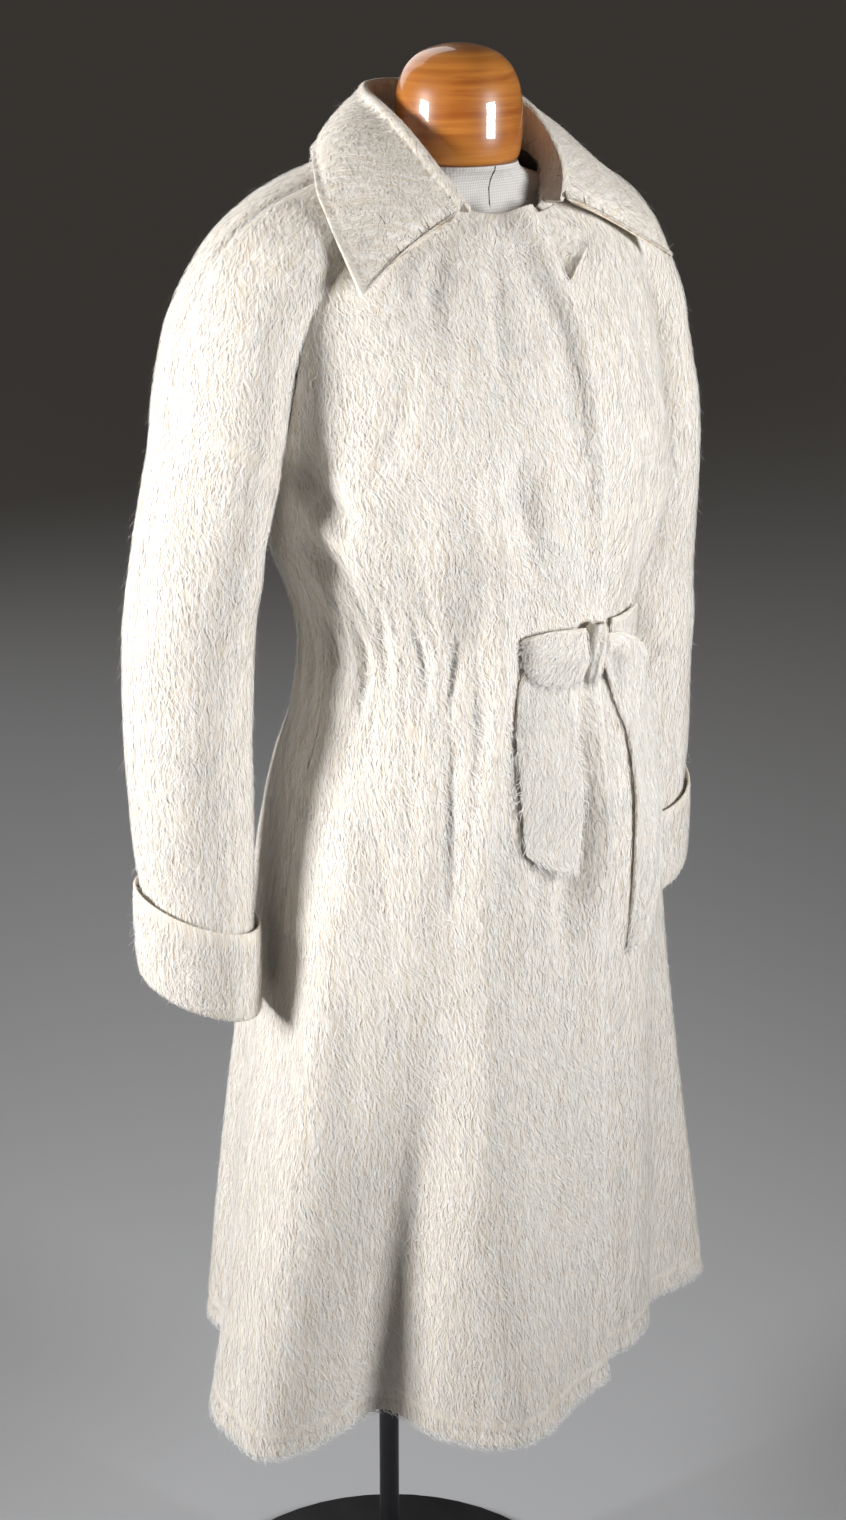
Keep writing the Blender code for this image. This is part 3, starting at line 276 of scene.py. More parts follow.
# panels, angle, height, depth, half width, half length, lean of the angle with height
CREASES = (
    ("R", -20.5, 1.035, 0.008, 4.5, 0.12, 15), ("L", 23, 1.035, 0.006, 4.5, 0.1, -15),
    ("R", -15.5, 1.17, 0.005, 4.5, 0.05, -20), ("R", -7.5, 1.175, -0.006, 5, 0.045, -30),
    ("R", 9, 1.23, -0.0035, 5, 0.11, 0), ("R", -56, 0.87, -0.005, 6, 0.06, -90),
    ("R", -36, 0.86, -0.002, 5, 0.07, 20), ("R", -62, 1.175, 0.007, 12, 0.055, -60),
    ("R", -38, 1.34, -0.0045, 7, 0.035, -180), ("R", -34, 1.15, 0.004, 6, 0.045, 60),
    ("L", 52, 1.17, 0.006, 12, 0.055, 60), ("L", 30, 1.15, -0.004, 6, 0.04, -40),
    ("B", -140, 1.15, 0.008, 14, 0.055, 20), ("B", 138, 1.155, 0.008, 14, 0.05, -20),
    ("B", 178, 1.13, 0.005, 10, 0.04, 0), ("B", 160, 0.9, -0.007, 6, 0.06, 30),
    # small soft ones that only the cloth of this script has
    ("R", -32, 1.085, -0.0022, 2.2, 0.028, 12), ("R", -43, 1.094, -0.0025, 2.4, 0.035, -14),
    ("R", -54.5, 1.1, -0.002, 2.4, 0.03, 10), ("R", -66, 1.09, -0.0026, 2.6, 0.04, -8),
    ("R", -78, 1.096, -0.0022, 2.4, 0.034, 14), ("R", -42.5, 1.008, -0.002, 2.4, 0.026, 12),
    ("R", -54, 1, -0.0022, 2.4, 0.034, -16), ("R", -66.5, 1.004, -0.0018, 2.4, 0.028, 8),
    ("R", -24.5, 1, -0.002, 2.2, 0.03, 10), ("R", -29, 0.955, 0.0022, 3.4, 0.04, 22),
    ("R", -48, 0.935, -0.0024, 3.4, 0.045, -24), ("R", -60, 0.72, -0.005, 5, 0.09, -30),
    ("R", -22, 0.64, 0.003, 4, 0.11, 12), ("R", -3, 0.9, -0.0024, 3.6, 0.09, 10),
    ("R", -50, 1.245, -0.003, 5, 0.05, 70), ("R", -26, 1.29, 0.0022, 6, 0.045, -60),
    ("R", -12, 1.33, -0.0024, 4, 0.05, 30), ("R", -70, 1.135, -0.0026, 4, 0.03, -90),
    ("L", 35, 1.092, -0.0022, 2.4, 0.032, 12), ("L", 47, 1.088, -0.0024, 2.4, 0.028, -10),
    ("L", 59, 1.096, -0.002, 2.4, 0.036, 12), ("L", 71, 1.09, -0.0024, 2.6, 0.03, -12),
    ("L", 47, 1.002, -0.002, 2.4, 0.03, 10), ("L", 59, 1.006, -0.0022, 2.4, 0.032, -12),
    ("L", 26, 1.24, -0.0026, 5, 0.06, -40), ("L", 44, 1.29, -0.0028, 6, 0.045, 80),
    ("B", -103.5, 1.092, -0.0022, 2.6, 0.034, 10), ("B", -128.5, 1.086, -0.0026, 2.6, 0.03, -12),
    ("B", -153.5, 1.096, -0.0022, 2.6, 0.038, 10), ("B", -180, 1.09, -0.0026, 2.6, 0.032, -8),
    ("B", 155.5, 1.094, -0.0022, 2.6, 0.036, 12), ("B", 129.5, 1.088, -0.0024, 2.6, 0.03, -10),
    ("B", 104.5, 1.096, -0.0022, 2.6, 0.036, 8), ("B", -128, 1, -0.0024, 2.8, 0.034, 14),
    ("B", 168, 0.996, -0.0022, 2.8, 0.03, -12), ("B", 142, 1.002, -0.0024, 2.8, 0.036, 10),
    ("B", -150, 1.23, -0.004, 8, 0.06, 60), ("B", 150, 1.225, -0.0036, 8, 0.055, -60),
    ("B", -172, 0.8, -0.004, 5, 0.09, -20), ("B", 130, 0.76, 0.004, 6, 0.1, 20),
    ("R", -27, 0.975, -0.005, 2.8, 0.045, -10), ("R", 7.5, 0.905, -0.0145, 3.8, 0.085, 20),
    ("R", 17.5, 0.905, 0.007, 4.2, 0.09, 12), ("R", -33, 0.915, -0.005, 3.2, 0.08, -25),
    ("R", -23, 0.9, 0.004, 4, 0.09, -20),
)
# The same columns: hollows and bulges beside the side seams, below the arms
ARM_HOLLOWS = (
    ("R", -71, 1.203, -0.017, 7.5, 0.032, -280), ("R", -53, 1.195, 0.006, 8, 0.034, -60),
    ("R", -76, 1.138, -0.008, 8, 0.018, 0), ("L", 72, 1.198, -0.013, 8, 0.03, 220),
    ("L", 74, 1.13, -0.006, 8, 0.02, 0), ("B", -106, 1.2, -0.012, 8, 0.036, 180),
    ("B", 105, 1.206, -0.013, 8, 0.032, -200), ("B", 108, 1.14, -0.006, 8, 0.022, 60),
)
HOLLOW_SHARE = 0.84          # where the hollows start to fade towards the seam
FADE_START = 1.15            # height from which folds and creases fade near the raglan seam
FADE_SHARE = 0.55            # and where on the panel they start to
# row of the ring stations, place round the sleeve, depth, half length, half width, slant
SLEEVE_CREASES = (
    (3.2, -0.55, -0.0032, 0.3, 0.16, 0.35), (3.8, -0.35, 0.0026, 0.35, 0.16, 0.3),
    (4.3, -0.62, -0.0028, 0.28, 0.14, 0.4), (2.4, -0.7, -0.003, 0.35, 0.14, 0.3),
    (1.2, -0.78, -0.004, 0.45, 0.12, 0.25), (3.4, 0.55, -0.0032, 0.32, 0.16, -0.35),
    (4.1, 0.62, -0.0026, 0.28, 0.14, -0.3), (2.2, 0.72, -0.0034, 0.4, 0.13, -0.25),
    (5.4, -0.15, 0.0018, 0.6, 0.14, 0.1), (5.8, 0.4, -0.002, 0.45, 0.15, -0.2),
    (5.2, -0.5, -0.002, 0.5, 0.12, 0.15), (1.8, -0.12, 0.0016, 0.7, 0.12, 0.05),
)


def ease(t: float) -> float:
    """Return 0 below 0, 1 above 1 and a smooth step between."""
    t = min(max(t, 0.0), 1.0)
    return t * t * (3 - 2 * t)


@dataclass(frozen=True)
class Fade:
    """A move that starts below one value and is whole a distance further down."""

    start: float
    over: float
    far: float = 1.0

    def at(self, value: float) -> float:
        """Return how far the move has come at a value."""
        return self.far * ease((self.start - value) / self.over)


def bump(distance: float, half_width: float) -> float:
    """Return a smooth bump that is 1 at distance 0."""
    return math.exp(-((distance / half_width) ** 2))


def turned(value: float) -> float:
    """Return a sine or cosine bent to the body's rounder section."""
    return math.copysign(abs(value) ** POWER, value)


def around(first: float, second: float) -> float:
    """Return the distance between two angles, the short way round."""
    return (first - second + 180) % 360 - 180


def spaced(start: float, stop: float, step: float) -> Array:
    """Return evenly spaced values, ends included, no further apart than a step."""
    return np.linspace(start, stop, max(int(math.ceil(abs(stop - start) / step)) + 1, 2))


def unit(vectors: Array) -> Array:
    """Return vectors of length 1; a vector of no length stays so."""
    return vectors / np.maximum(np.linalg.norm(vectors, axis=-1, keepdims=True), 1e-12)


def grid_normals(grid: Array) -> Array:
    """Return a grid's unit normals, to the side that its rows and columns give."""
    return unit(np.cross(np.gradient(grid, axis=1), np.gradient(grid, axis=0)))


def outward_normals(grid: Array) -> Array:
    """Work out normals that point away from a grid's hollow side.

    Args:
        grid: rows of points.

    Returns:
        Their unit vectors, one for each point.
    """
    normals = grid_normals(grid)
    inside_out = (normals * (grid - grid.mean(axis=1, keepdims=True))).sum() < 0
    return -normals if inside_out else normals


@dataclass(frozen=True)
class Spot:
    """A place on a panel, where folds, creases and gathers move the cloth outwards."""

    panel: str                   # "R", "L" or "B"
    angle: float                 # angle at the waist, in degrees from the front middle
    height: float

    def patches(self, rows: tuple[tuple, ...]) -> float:
        """Add up the soft slanting troughs and ridges that a table with CREASES' columns has.

        Args:
            rows: the table.

        Returns:
            The distance along the section's normal, in metres.
        """
        total = 0.0
        for panels, centre, middle, depth, half_width, half_length, lean in rows:
            along = self.height - middle
            if self.panel in panels and abs(along) < BUMP_REACH * half_length:
                off = around(self.angle, centre + lean * along)
                total += depth * bump(off, half_width) * bump(along, half_length)
        return total

    def relief(self) -> float:
        """Add up the folds, creases and gathers.

        Returns:
            How far they move the panel outwards, in metres.
        """
        total = CREASE_SHARE * self.patches(CREASES)
        for panels, hem_angle, top_angle, top, depth, half_width in FOLDS:
            if self.panel in panels and self.height < top:
                share = (top - self.height) / (top - HEM)
                off = around(self.angle, top_angle + (hem_angle - top_angle) * share)
                total += depth * share ** FOLD_GROWTH * bump(off, half_width)
        up = self.height - WAIST
        along = max(abs(up) - CASING_HALF, 0.0)
        for panels, centre, depth, half_width, rise, fall in GATHERS:
            reach = rise if up > 0 else fall
            if self.panel in panels and along < BUMP_REACH * reach:
                sway = GATHER_SWAY * math.sin(38 * up + 1.9 * centre)
                uneven = 0.75 + 0.35 * math.sin(60 * up + 5.3 * centre)
                across = bump(around(self.angle, centre + sway), half_width * GATHER_SOFTNESS)
                down = bump(along, reach * GATHER_SOFTNESS)
                total -= GATHER_SHARE * uneven * depth * across * down
        return total - HEM_GROOVE * bump(self.height - HEM - HEM_TURN, HEM_HALF)

    def lift(self, share: float, relief: float) -> float:
        """Fade a relief out near the raglan seam, and add the hollows below the arm.

        Args:
            share: how far the place is from the middle of its panel to its seam.
            relief: the relief there.

        Returns:
            The distance along the section's normal, in metres.
        """
        above = ease((self.height - FADE_START) / (UNDERARM - FADE_START))
        kept = 1 - above * ease((share - FADE_SHARE) / (1 - FADE_SHARE))
        hollow = 1 - ease((share - HOLLOW_SHARE) / (1 - HOLLOW_SHARE))
        return relief * kept + self.patches(ARM_HOLLOWS) * hollow


class Section:
    """One row of the front or the back: an oval from its middle to its side seam."""

    def __init__(self, half: str, key: float) -> None:
        """Work out the oval.

        Args:
            half: "front" or "back".
            key: the row's height at the front middle.
        """
        row = BODY.at(key)
        names = ("z", "y", "seam_x", "seam_y", "seam_z", "turn")
        self.z, y, seam_x, self.seam_y, self.seam_z, self.end = (row[f"{half}_{n}"] for n in names)
        turn = math.radians(self.end)
        self.cos_end = turned(math.cos(turn))
        self.width = seam_x / turned(math.sin(turn))
        self.depth = (y - self.seam_y) / (1 - self.cos_end)

    def at(self, turn: float, rise: float) -> tuple[Array, Array]:
        """Find a point of the row.

        Args:
            turn: degrees from the middle.
            rise: 0 at the height of the middle and 1 at the height of the seam.

        Returns:
            The point and its level unit normal.
        """
        sine, cosine = math.sin(math.radians(turn)), math.cos(math.radians(turn))
        y = self.seam_y + self.depth * (turned(cosine) - self.cos_end)
        z = self.z + (self.seam_z - self.z) * rise ** 2
        normal = unit(np.array((sine / self.width, cosine / self.depth, 0.0)))
        return np.array((self.width * turned(sine), y, z)), normal


def edge_turn(key: float, side: Side) -> float:
    """Return how far past the middle a front's section starts, in degrees."""
    reach = EDGES.at(key)["overlap" if side < 0 else "underlap"]
    return -math.degrees(math.asin((reach / Section("front", key).width) ** (1 / POWER)))


def right_label(turn: float, key: float) -> float:
    """Find a column of the right front.

    Args:
        turn: degrees from the middle at a height.
        key: the height.

    Returns:
        The column's angle at the waist, in degrees.
    """
    start, waist_start = edge_turn(key, Side.RIGHT), edge_turn(WAIST, Side.RIGHT)
    share = (turn - start) / (Section("front", key).end - start)
    return waist_start + (90 - waist_start) * share


# Heights of the body's rows, closer together at the hem and where gathers are
ROW_KEYS = np.concatenate([
    spaced(HEM, 0.409, 0.0024)[:-1], spaced(0.409, 0.93, 0.0145)[:-1],
    spaced(0.93, 1.17, 0.0065)[:-1], spaced(1.17, UNDERARM, 0.0120)[:-1],
    spaced(UNDERARM, NECK_KEY, 0.0090),
])
YOKE_KEYS = ROW_KEYS[ROW_KEYS > UNDERARM + 1e-6]


def front_grid(side: Side) -> Array:
    """Build a front panel's outer points.

    Args:
        side: which front.

    Returns:
        Rows from hem to neck of points from the front edge to the side seam.
    """
    waist_start = edge_turn(WAIST, side)
    grid = []
    for key in ROW_KEYS:
        section = Section("front", key)
        start = edge_turn(key, side)
        points = []
        for label in spaced(waist_start, 90, FRONT_STEP):
            share = (label - waist_start) / (90 - waist_start)
            turn = start + (section.end - start) * share
            point, normal = section.at(turn, max(turn, 0.0) / section.end)
            spot = Spot(side.name[0], side * label, key)
            relief = spot.relief()
            over = ease((LAP_X - point[0]) / LAP_FADE)
            if side > 0 and over > 0:
                relief += over * (Spot("R", -right_label(-turn, key), key).relief() - relief)
            points.append(point + normal * spot.lift(share, relief))
        grid.append(points)
    grid = np.array(grid) * (side, 1, 1)
    return roll_edge(grid) if side < 0 else tuck_under(grid)


def roll_edge(grid: Array) -> Array:
    """Lift the right front's edge outwards near the neck.

    Args:
        grid: the right front's points.

    Returns:
        The same points, moved.
    """
    normals = outward_normals(grid)
    for r, key in enumerate(ROW_KEYS):
        away = np.linalg.norm(grid[r] - grid[r, 0], axis=1)
        lift = EDGE_ROLL.at(key)["lift"] * np.exp(-((away / EDGE_ROLL_WIDTH) ** 2))
        grid[r] += normals[r] * lift[:, None]
    return grid


# How the left front goes in, and its hem up, below the right front: by height and by x
TUCK_HANG = Fade(0.95, 0.5, 0.009)
TUCK_RISE = Fade(0.60, 0.2, 0.010)
TUCK_HIDDEN = Fade(0.015, 0.045, 0.004)
TUCK_IN = Fade(0.098, 0.045)
TUCK_UP = Fade(0.16, 0.10)


def tuck_under(grid: Array) -> Array:
    """Move the left front below the right one where they overlap.

    Args:
        grid: the left front's points.

    Returns:
        The points, drawn in by a cloth and a little air, and up at the hem.
    """
    normals = outward_normals(grid)
    tucked = grid.copy()
    for r, key in enumerate(ROW_KEYS):
        for c, x in enumerate(grid[r, :, 0]):
            inwards = LAP_GAP + TUCK_HANG.at(key) + TUCK_HIDDEN.at(x)
            tucked[r, c] -= normals[r, c] * TUCK_IN.at(x) * inwards
            tucked[r, c, 2] += TUCK_RISE.at(key) * TUCK_UP.at(x)
    return tucked


def back_grid() -> Array:
    """Build the back's outer points.

    Returns:
        Rows from hem to neck of points from the right side to the left.
    """
    grid = []
    for key in ROW_KEYS:
        section = Section("back", key)
        points = []
        for label in spaced(-90, 90, BACK_STEP):
            share = label / 90
            point, normal = section.at(section.end * share, share)
            spot = Spot("B", -180 - label if label < 0 else 180 - label, key)
            points.append(point + normal * spot.lift(abs(share), spot.relief()))
        grid.append(points)
    return np.array(grid)


def leant(point: Array, side: Side) -> Array:
    """Move a point of the left sleeve's crest in and down; leave the right's alone."""
    row = LEAN.at(point[2])
    return point - (row["inward"], 0, row["down"]) if side > 0 else point


def swung(first: Array, second: Array, turn: Array) -> Array:
    """Return directions turned from a first one towards a second, in radians."""
    return first * np.cos(turn)[:, None] + second * np.sin(turn)[:, None]


def sleeve_arc(row: Row, side: Side, sweep: Array) -> Array:
    """Work out one row of a sleeve above the underarm.

    Args:
        row: the body's row that it joins.
        side: which sleeve.
        sweep: places round it, -1 at the front seam and 1 at the back seam.

    Returns:
        Its points.
    """
    front, back, crest = (np.array([row[f"{name}_{axis}"] for axis in "xyz"])
                          for name in ("front_seam", "back_seam", "crest"))
    crest = leant(crest, side)
    turn = math.radians(row["arc_turn"])
    if turn > math.radians(FULL_ARC):
        gap = float(np.linalg.norm(back - front)) / 2
        turn = math.pi - math.asin(min(gap / SLEEVE_TOP_DEPTH, 1.0))
    up = (crest - (front + back) / 2) / (1 - math.cos(turn))
    across = (back - front) / 2 / math.sin(turn)
    return (crest - up + swung(up, across, turn * sweep)) * (side, 1, 1)


def sleeve_ring(station: float, side: Side, sweep: Array) -> Array:
    """Work out one row of a sleeve below the underarm.

    Args:
        station: the row's place in the table SLEEVE.
        side: which sleeve.
        sweep: places round it, from the inner seam at -1 round to it again at 1.

    Returns:
        Its points.
    """
    row = SLEEVE.at(station)
    blend = max(1 - station / TOP_BLEND, 0.0)
    inner, outer = (np.array((row[f"{name}_x"], row["middle_y"] * (1 - blend), row[f"{name}_z"]))
                    for name in ("inner", "outer"))
    outer[1] += SLEEVE_TOP_Y * blend
    outer = leant(outer, side)
    centre, up = (inner + outer) / 2, (outer - inner) / 2
    points = centre + swung(up, np.array((0, row["half_depth"], 0)), math.pi * sweep)
    points[:, 2] += SLEEVE_TILT * row["tilt"] * ((points - centre)[:, :2] @ TILT_WAY)
    return points * (side, 1, 1)


def sleeve_creases(rows: int, sweep: Array) -> Array:
    """Work out the soft creases and the seam's groove of half a sleeve.

    Args:
        rows: how many rows it has.
        sweep: the places of its columns round the sleeve.

    Returns:
        The outward distance of each point, row by row.
    """
    stations = (np.arange(rows) - len(YOKE_KEYS)) / RINGS_A_STATION
    total = np.zeros((rows, len(sweep)))
    for station, place, depth, half_length, half_width, slant in SLEEVE_CREASES:
        along = stations[:, None] - station
        off = sweep[None, :] - (place + slant * along * SLANT_SHARE)
        total += depth * np.exp(-((along / half_length) ** 2) - ((off / half_width) ** 2))
    total -= SEAM_GROOVE * np.exp(-((sweep / SEAM_GROOVE_WIDTH) ** 2))[None, :]
    return total * np.clip(1 - (np.abs(sweep) - CREASE_END) / CREASE_END_FADE, 0, 1)[None, :]


def sleeve_grid(side: Side, start: float, stop: float) -> Array:
    """Build part of a sleeve's outer points.

    Args:
        side: which sleeve.
        start: where its rows start, -1 at the front seam and 0 along the overarm.
        stop: where they end, 1 at the back seam.

    Returns:
        Rows from neck to cuff.
    """
    sweep = np.linspace(start, stop, SLEEVE_COLUMNS)
    stations = np.linspace(0, LAST_STATION, LAST_STATION * RINGS_A_STATION + 1)
    grid = np.array([sleeve_arc(BODY.at(key), side, sweep) for key in YOKE_KEYS[::-1]]
                    + [sleeve_ring(station, side, sweep) for station in stations])
    return grid + outward_normals(grid) * sleeve_creases(len(grid), sweep)[..., None]


PANELS: dict[str, Array] = {
    "right_front": front_grid(Side.RIGHT),
    "left_front": front_grid(Side.LEFT),
    "back": back_grid(),
}


def read_line(keys: Array, values: Array, key: float) -> Array:
    """Return the row of values at a key, between the rows whose keys are given."""
    return np.array([np.interp(key, keys, column) for column in values.T])


def neckline(side: Side) -> Array:
    """Follow half of the neckline.

    Args:
        side: which half.

    Returns:
        Points from the collar's front end to the middle of the back.
    """
    row, back = PANELS[f"{side.word}_front"][-1], PANELS["back"][-1]
    across = row[np.argsort(row[:, 0])]
    start = read_line(across[:, 0], across, side * COLLAR_START)
    front = row[np.abs(row[:, 0]) > COLLAR_START]
    front = front[np.argsort(np.abs(front[:, 0]))]
    arc = sleeve_arc(BODY.at(NECK_KEY), side, np.linspace(-1, 1, SLEEVE_COLUMNS))
    back = back[back[:, 0] * side >= -1e-9]
    back = back[np.argsort(-np.abs(back[:, 0]))]
    return np.concatenate([[start], front[:-1], arc, back[1:]])


def along_line(points: Array, share: float) -> Array:
    """Return the point at a share of a line's length."""
    length = np.concatenate([[0], np.cumsum(np.linalg.norm(np.diff(points, axis=0), axis=1))])
    return read_line(length, points, share * length[-1])


def panel_y(grid: Array, x: float, z: float) -> float:
    """Find how far forward a panel is.

    Args:
        grid: the panel's outer points.
        x: an x.
        z: a height.

    Returns:
        The y of the panel's outer side there.
    """
    near = np.sort(np.argsort(np.abs(grid[:, 0, 2] - z))[:6])
    rows = [row[np.argsort(row[:, 0])] for row in grid[near]]
    found = np.array([read_line(row[:, 0], row, x) for row in rows])
    return float(np.interp(z, found[:, 2], found[:, 1]))


def moved_out(grid: Array, x: float, z: float, distance: float) -> Array:
    """Move a point of a front panel out along its normal.

    Args:
        grid: the panel's outer points.
        x: the point's x.
        z: its height.
        distance: how far it is moved.

    Returns:
        The moved point.
    """
    slope_x, slope_z = (
        (panel_y(grid, x + dx, z + dz) - panel_y(grid, x - dx, z - dz)) / (2 * SLOPE_STEP)
        for dx, dz in ((SLOPE_STEP, 0.0), (0.0, SLOPE_STEP)))
    place = np.array((x, panel_y(grid, x, z), z))
    return place + unit(np.array((slope_x, -1.0, slope_z))) * distance


def placed(name: str, data: bpy.types.ID) -> Object:
    """Put new data into the scene.

    Args:
        name: the object's name.
        data: its mesh, light or camera.

    Returns:
        The object.
    """
    item = bpy.data.objects.new(name, data)
    bpy.context.scene.collection.objects.link(item)
    return item


@dataclass(frozen=True)
class NodeKit:
    """Short calls for adding nodes to one material or group."""

    tree: bpy.types.NodeTree

    def feed(self, node: Node, inputs: dict[str | int, object]) -> None:
        """Fill a node's inputs.

        Args:
            node: the node.
            inputs: values or sockets, by the input's name or number.
        """
        for name, value in inputs.items():
            if isinstance(value, Socket):
                self.tree.links.new(value, node.inputs[name])
            else:
                node.inputs[name].default_value = value

    def add(self, kind: str, inputs: dict[str | int, object], **settings: object) -> Node:
        """Add a node.

        Args:
            kind: its type.
            inputs: what goes into it, by the input's name or number.
            settings: its plain properties.

        Returns:
            The node.
        """
        node = self.tree.nodes.new(kind)
        for name, value in settings.items():
            setattr(node, name, value)
        self.feed(node, inputs)
        return node

    def math(self, operation: str, first: object, second: object) -> Socket:
        """Add a Math node; its inputs are sockets or numbers."""
        return self.add("ShaderNodeMath", {0: first, 1: second}, operation=operation).outputs[0]

    def noise(self, place: Socket, scale: float, detail: float = 2.0,
              roughness: float = 0.5, distortion: float = 0.0) -> Node:
        """Add a Noise Texture node.

        Args:
            place: where it is read.
            scale: how fine it is.
            detail: how many finer layers it has.
            roughness: their share.
            distortion: how far it is bent.

        Returns:
            The node.
        """
        return self.add("ShaderNodeTexNoise", {
            "Vector": place, "Scale": scale, "Detail": detail, "Roughness": roughness,
            "Distortion": distortion})

    def weigh(self, first: Node, share: float, second: Node) -> Socket:
        """Add up two noises, a share of the first and the rest of the second."""
        return self.math("ADD", self.math("MULTIPLY", first.outputs["Fac"], share),
                         self.math("MULTIPLY", second.outputs["Fac"], round(1 - share, 3)))

    def blend(self, factor: Socket, first: object, second: object) -> Socket:
        """Mix two colours.

        Args:
            factor: the second one's share.
            first: a socket or three numbers.
            second: the same.

        Returns:
            The mixed colour.
        """
        ends = [(*end, 1.0) if isinstance(end, tuple) else end for end in (first, second)]
        return self.add("ShaderNodeMix", {"Factor": factor, "A": ends[0], "B": ends[1]},
                        data_type="RGBA").outputs["Result"]

    def bump(self, height: Socket, strength: float, distance: float) -> Socket:
        """Turn a height into normals."""
        return self.add("ShaderNodeBump", {"Height": height, "Strength": strength,
                                           "Distance": distance}).outputs["Normal"]

    def cloth_map(self) -> Socket:
        """Read the piece's own map."""
        return self.add("ShaderNodeUVMap", {}, uv_map="cloth").outputs["UV"]

    def place(self) -> Socket:
        """Read the place in the object's own frame."""
        return self.add("ShaderNodeTexCoord", {}).outputs["Object"]


@dataclass(frozen=True)
class BrushedNap:
    """The group of nodes that draws brushed fibres along a piece's own map."""

    wander: float = 26.0         # scale of the fibres' turns
    shift: Triple = (0.012, 0.004, 0.0)
    rough: float = 0.62
    fibres: float = 0.65         # their share against the locks'
    locks: float = 0.22          # scale of the locks
    tones: Pair = (0.36, 0.60)   # heights of the deep and light colours

    def build(self) -> bpy.types.NodeTree:
        """Make the group.

        Returns:
            It, with the brushed colour and the height of the nap coming out of it.
        """
        tree = bpy.data.node_groups.new("BrushedNap", "ShaderNodeTree")
        for way, sockets in (
            ("INPUT", {"Map": "Vector", "Across": "Float", "Along": "Float", "Deep": "Color",
                       "Light": "Color"}),
            ("OUTPUT", {"Color": "Color", "Height": "Float"}),
        ):
            for label, kind in sockets.items():
                tree.interface.new_socket(label, in_out=way, socket_type=f"NodeSocket{kind}")
        kit = NodeKit(tree)
        start = kit.add("NodeGroupInput", {}).outputs
        wander = kit.noise(start["Map"], self.wander).outputs["Color"]
        place = kit.add("ShaderNodeVectorMath", {0: wander, 1: self.shift, 2: start["Map"]},
                        operation="MULTIPLY_ADD").outputs[0]
        scale = kit.add("ShaderNodeCombineXYZ", {0: start["Across"], 1: start["Along"]}).outputs[0]
        place = kit.add("ShaderNodeVectorMath", {0: place, 1: scale}, operation="MULTIPLY").outputs[0]
        both = kit.weigh(kit.noise(place, 1.0, 4.0, self.rough), self.fibres,
                         kit.noise(place, self.locks))
        # The deep colour falls where the nap's height is low: this is partly painted shade between the
        # fibres and partly the wool's own uneven tone.
        ramp = kit.add("ShaderNodeMapRange", {"Value": both, "From Min": self.tones[0],
                                              "From Max": self.tones[1]})
        colour = kit.blend(ramp.outputs["Result"], start["Deep"], start["Light"])
        kit.add("NodeGroupOutput", {"Color": colour, "Height": both})
        return tree


@dataclass(frozen=True)
class Finish:
    """A material of one plain colour; other finishes fill its shader's inputs anew."""

    name: str
    colour: Colour = (0.5, 0.5, 0.5)
    roughness: float = 0.9

    def inputs(self, kit: NodeKit) -> dict[str, object]:
        """Return what goes into the shader, by the input's name."""
        return {"Base Color": (*self.colour, 1.0), "Roughness": self.roughness}

    def build(self) -> Material:
        """Make the material.

        Returns:
            It, with its shader's inputs filled.
        """
        material = bpy.data.materials.new(self.name)
        material.use_nodes = True
        kit = NodeKit(material.node_tree)
        kit.feed(material.node_tree.nodes["Principled BSDF"], self.inputs(kit))
        return material


@dataclass(frozen=True)
class WoolFinish(Finish):
    """Woven wool under a long brushed nap, from the nap's group."""

    group: bpy.types.NodeTree | None = None
    light: Colour = (0.91, 0.88, 0.83)
    roughness: float = 0.92
    across: float = 1500.0
    along: float = 90.0
    depth: float = 0.0008

    def inputs(self, kit: NodeKit) -> dict[str, object]:
        """Draw an uneven brushed colour, its bump and a soft sheen.

        Args:
            kit: adds nodes to the material.

        Returns:
            What goes into the shader, by the input's name.
        """
        # Deep, the finish's own colour, is darker partly as painted shade between the fibres.
        nap = kit.add("ShaderNodeGroup", {
            "Map": kit.cloth_map(), "Across": self.across, "Along": self.along,
            "Deep": (*self.colour, 1.0), "Light": (*self.light, 1.0)}, node_tree=self.group)
        return {
            "Base Color": nap.outputs["Color"], "Roughness": self.roughness,
            "Normal": kit.bump(nap.outputs["Height"], 1.0, self.depth),
            "Specular IOR Level": 0.15, "Sheen Weight": 0.35, "Sheen Roughness": 0.5,
            "Sheen Tint": (1.0, 0.97, 0.92, 1.0),
        }


@dataclass(frozen=True)
class StrandFinish(Finish):
    """Single long fibres, each of its own tone, which their map holds."""

    light: Colour = (0.965, 0.955, 0.94)
    roughness: float = 0.55

    def inputs(self, kit: NodeKit) -> dict[str, object]:
        """Take each strand's tone from its map.

        Args:
            kit: adds nodes to the material.

        Returns:
            What goes into the shader, by the input's name.
        """
        tone = kit.add("ShaderNodeSeparateXYZ", {0: kit.cloth_map()}).outputs[0]
        return {"Base Color": kit.blend(tone, self.colour, self.light),
                "Roughness": self.roughness, "Specular IOR Level": 0.25, "Sheen Weight": 0.25}


@dataclass(frozen=True)
class LinenFinish(Finish):
    """Plain-woven linen stretched over the form."""

    name: str = "linen_cover"
    colour: Colour = (0.50, 0.48, 0.455)
    light: Colour = (0.72, 0.70, 0.67)
    thread: float = 900.0

    def inputs(self, kit: NodeKit) -> dict[str, object]:
        """Weave two crossed sets of threads.

        Args:
            kit: adds nodes to the material.

        Returns:
            What goes into the shader, by the input's name.
        """
        place = kit.place()
        threads = [
            kit.add("ShaderNodeTexWave", {"Vector": place, "Scale": self.thread / 6.28,
                                          "Distortion": 1.4, "Detail Scale": 3.0},
                    bands_direction=axis).outputs["Fac"] for axis in ("X", "Z")]
        weave = kit.math("MULTIPLY", *threads)
        cloud = kit.math("MULTIPLY", kit.noise(place, 60.0).outputs["Fac"], 0.4)
        return {"Base Color": kit.blend(kit.math("ADD", weave, cloud), self.colour, self.light),
                "Normal": kit.bump(weave, 0.4, 0.0004), "Roughness": self.roughness,
                "Sheen Weight": 0.2}


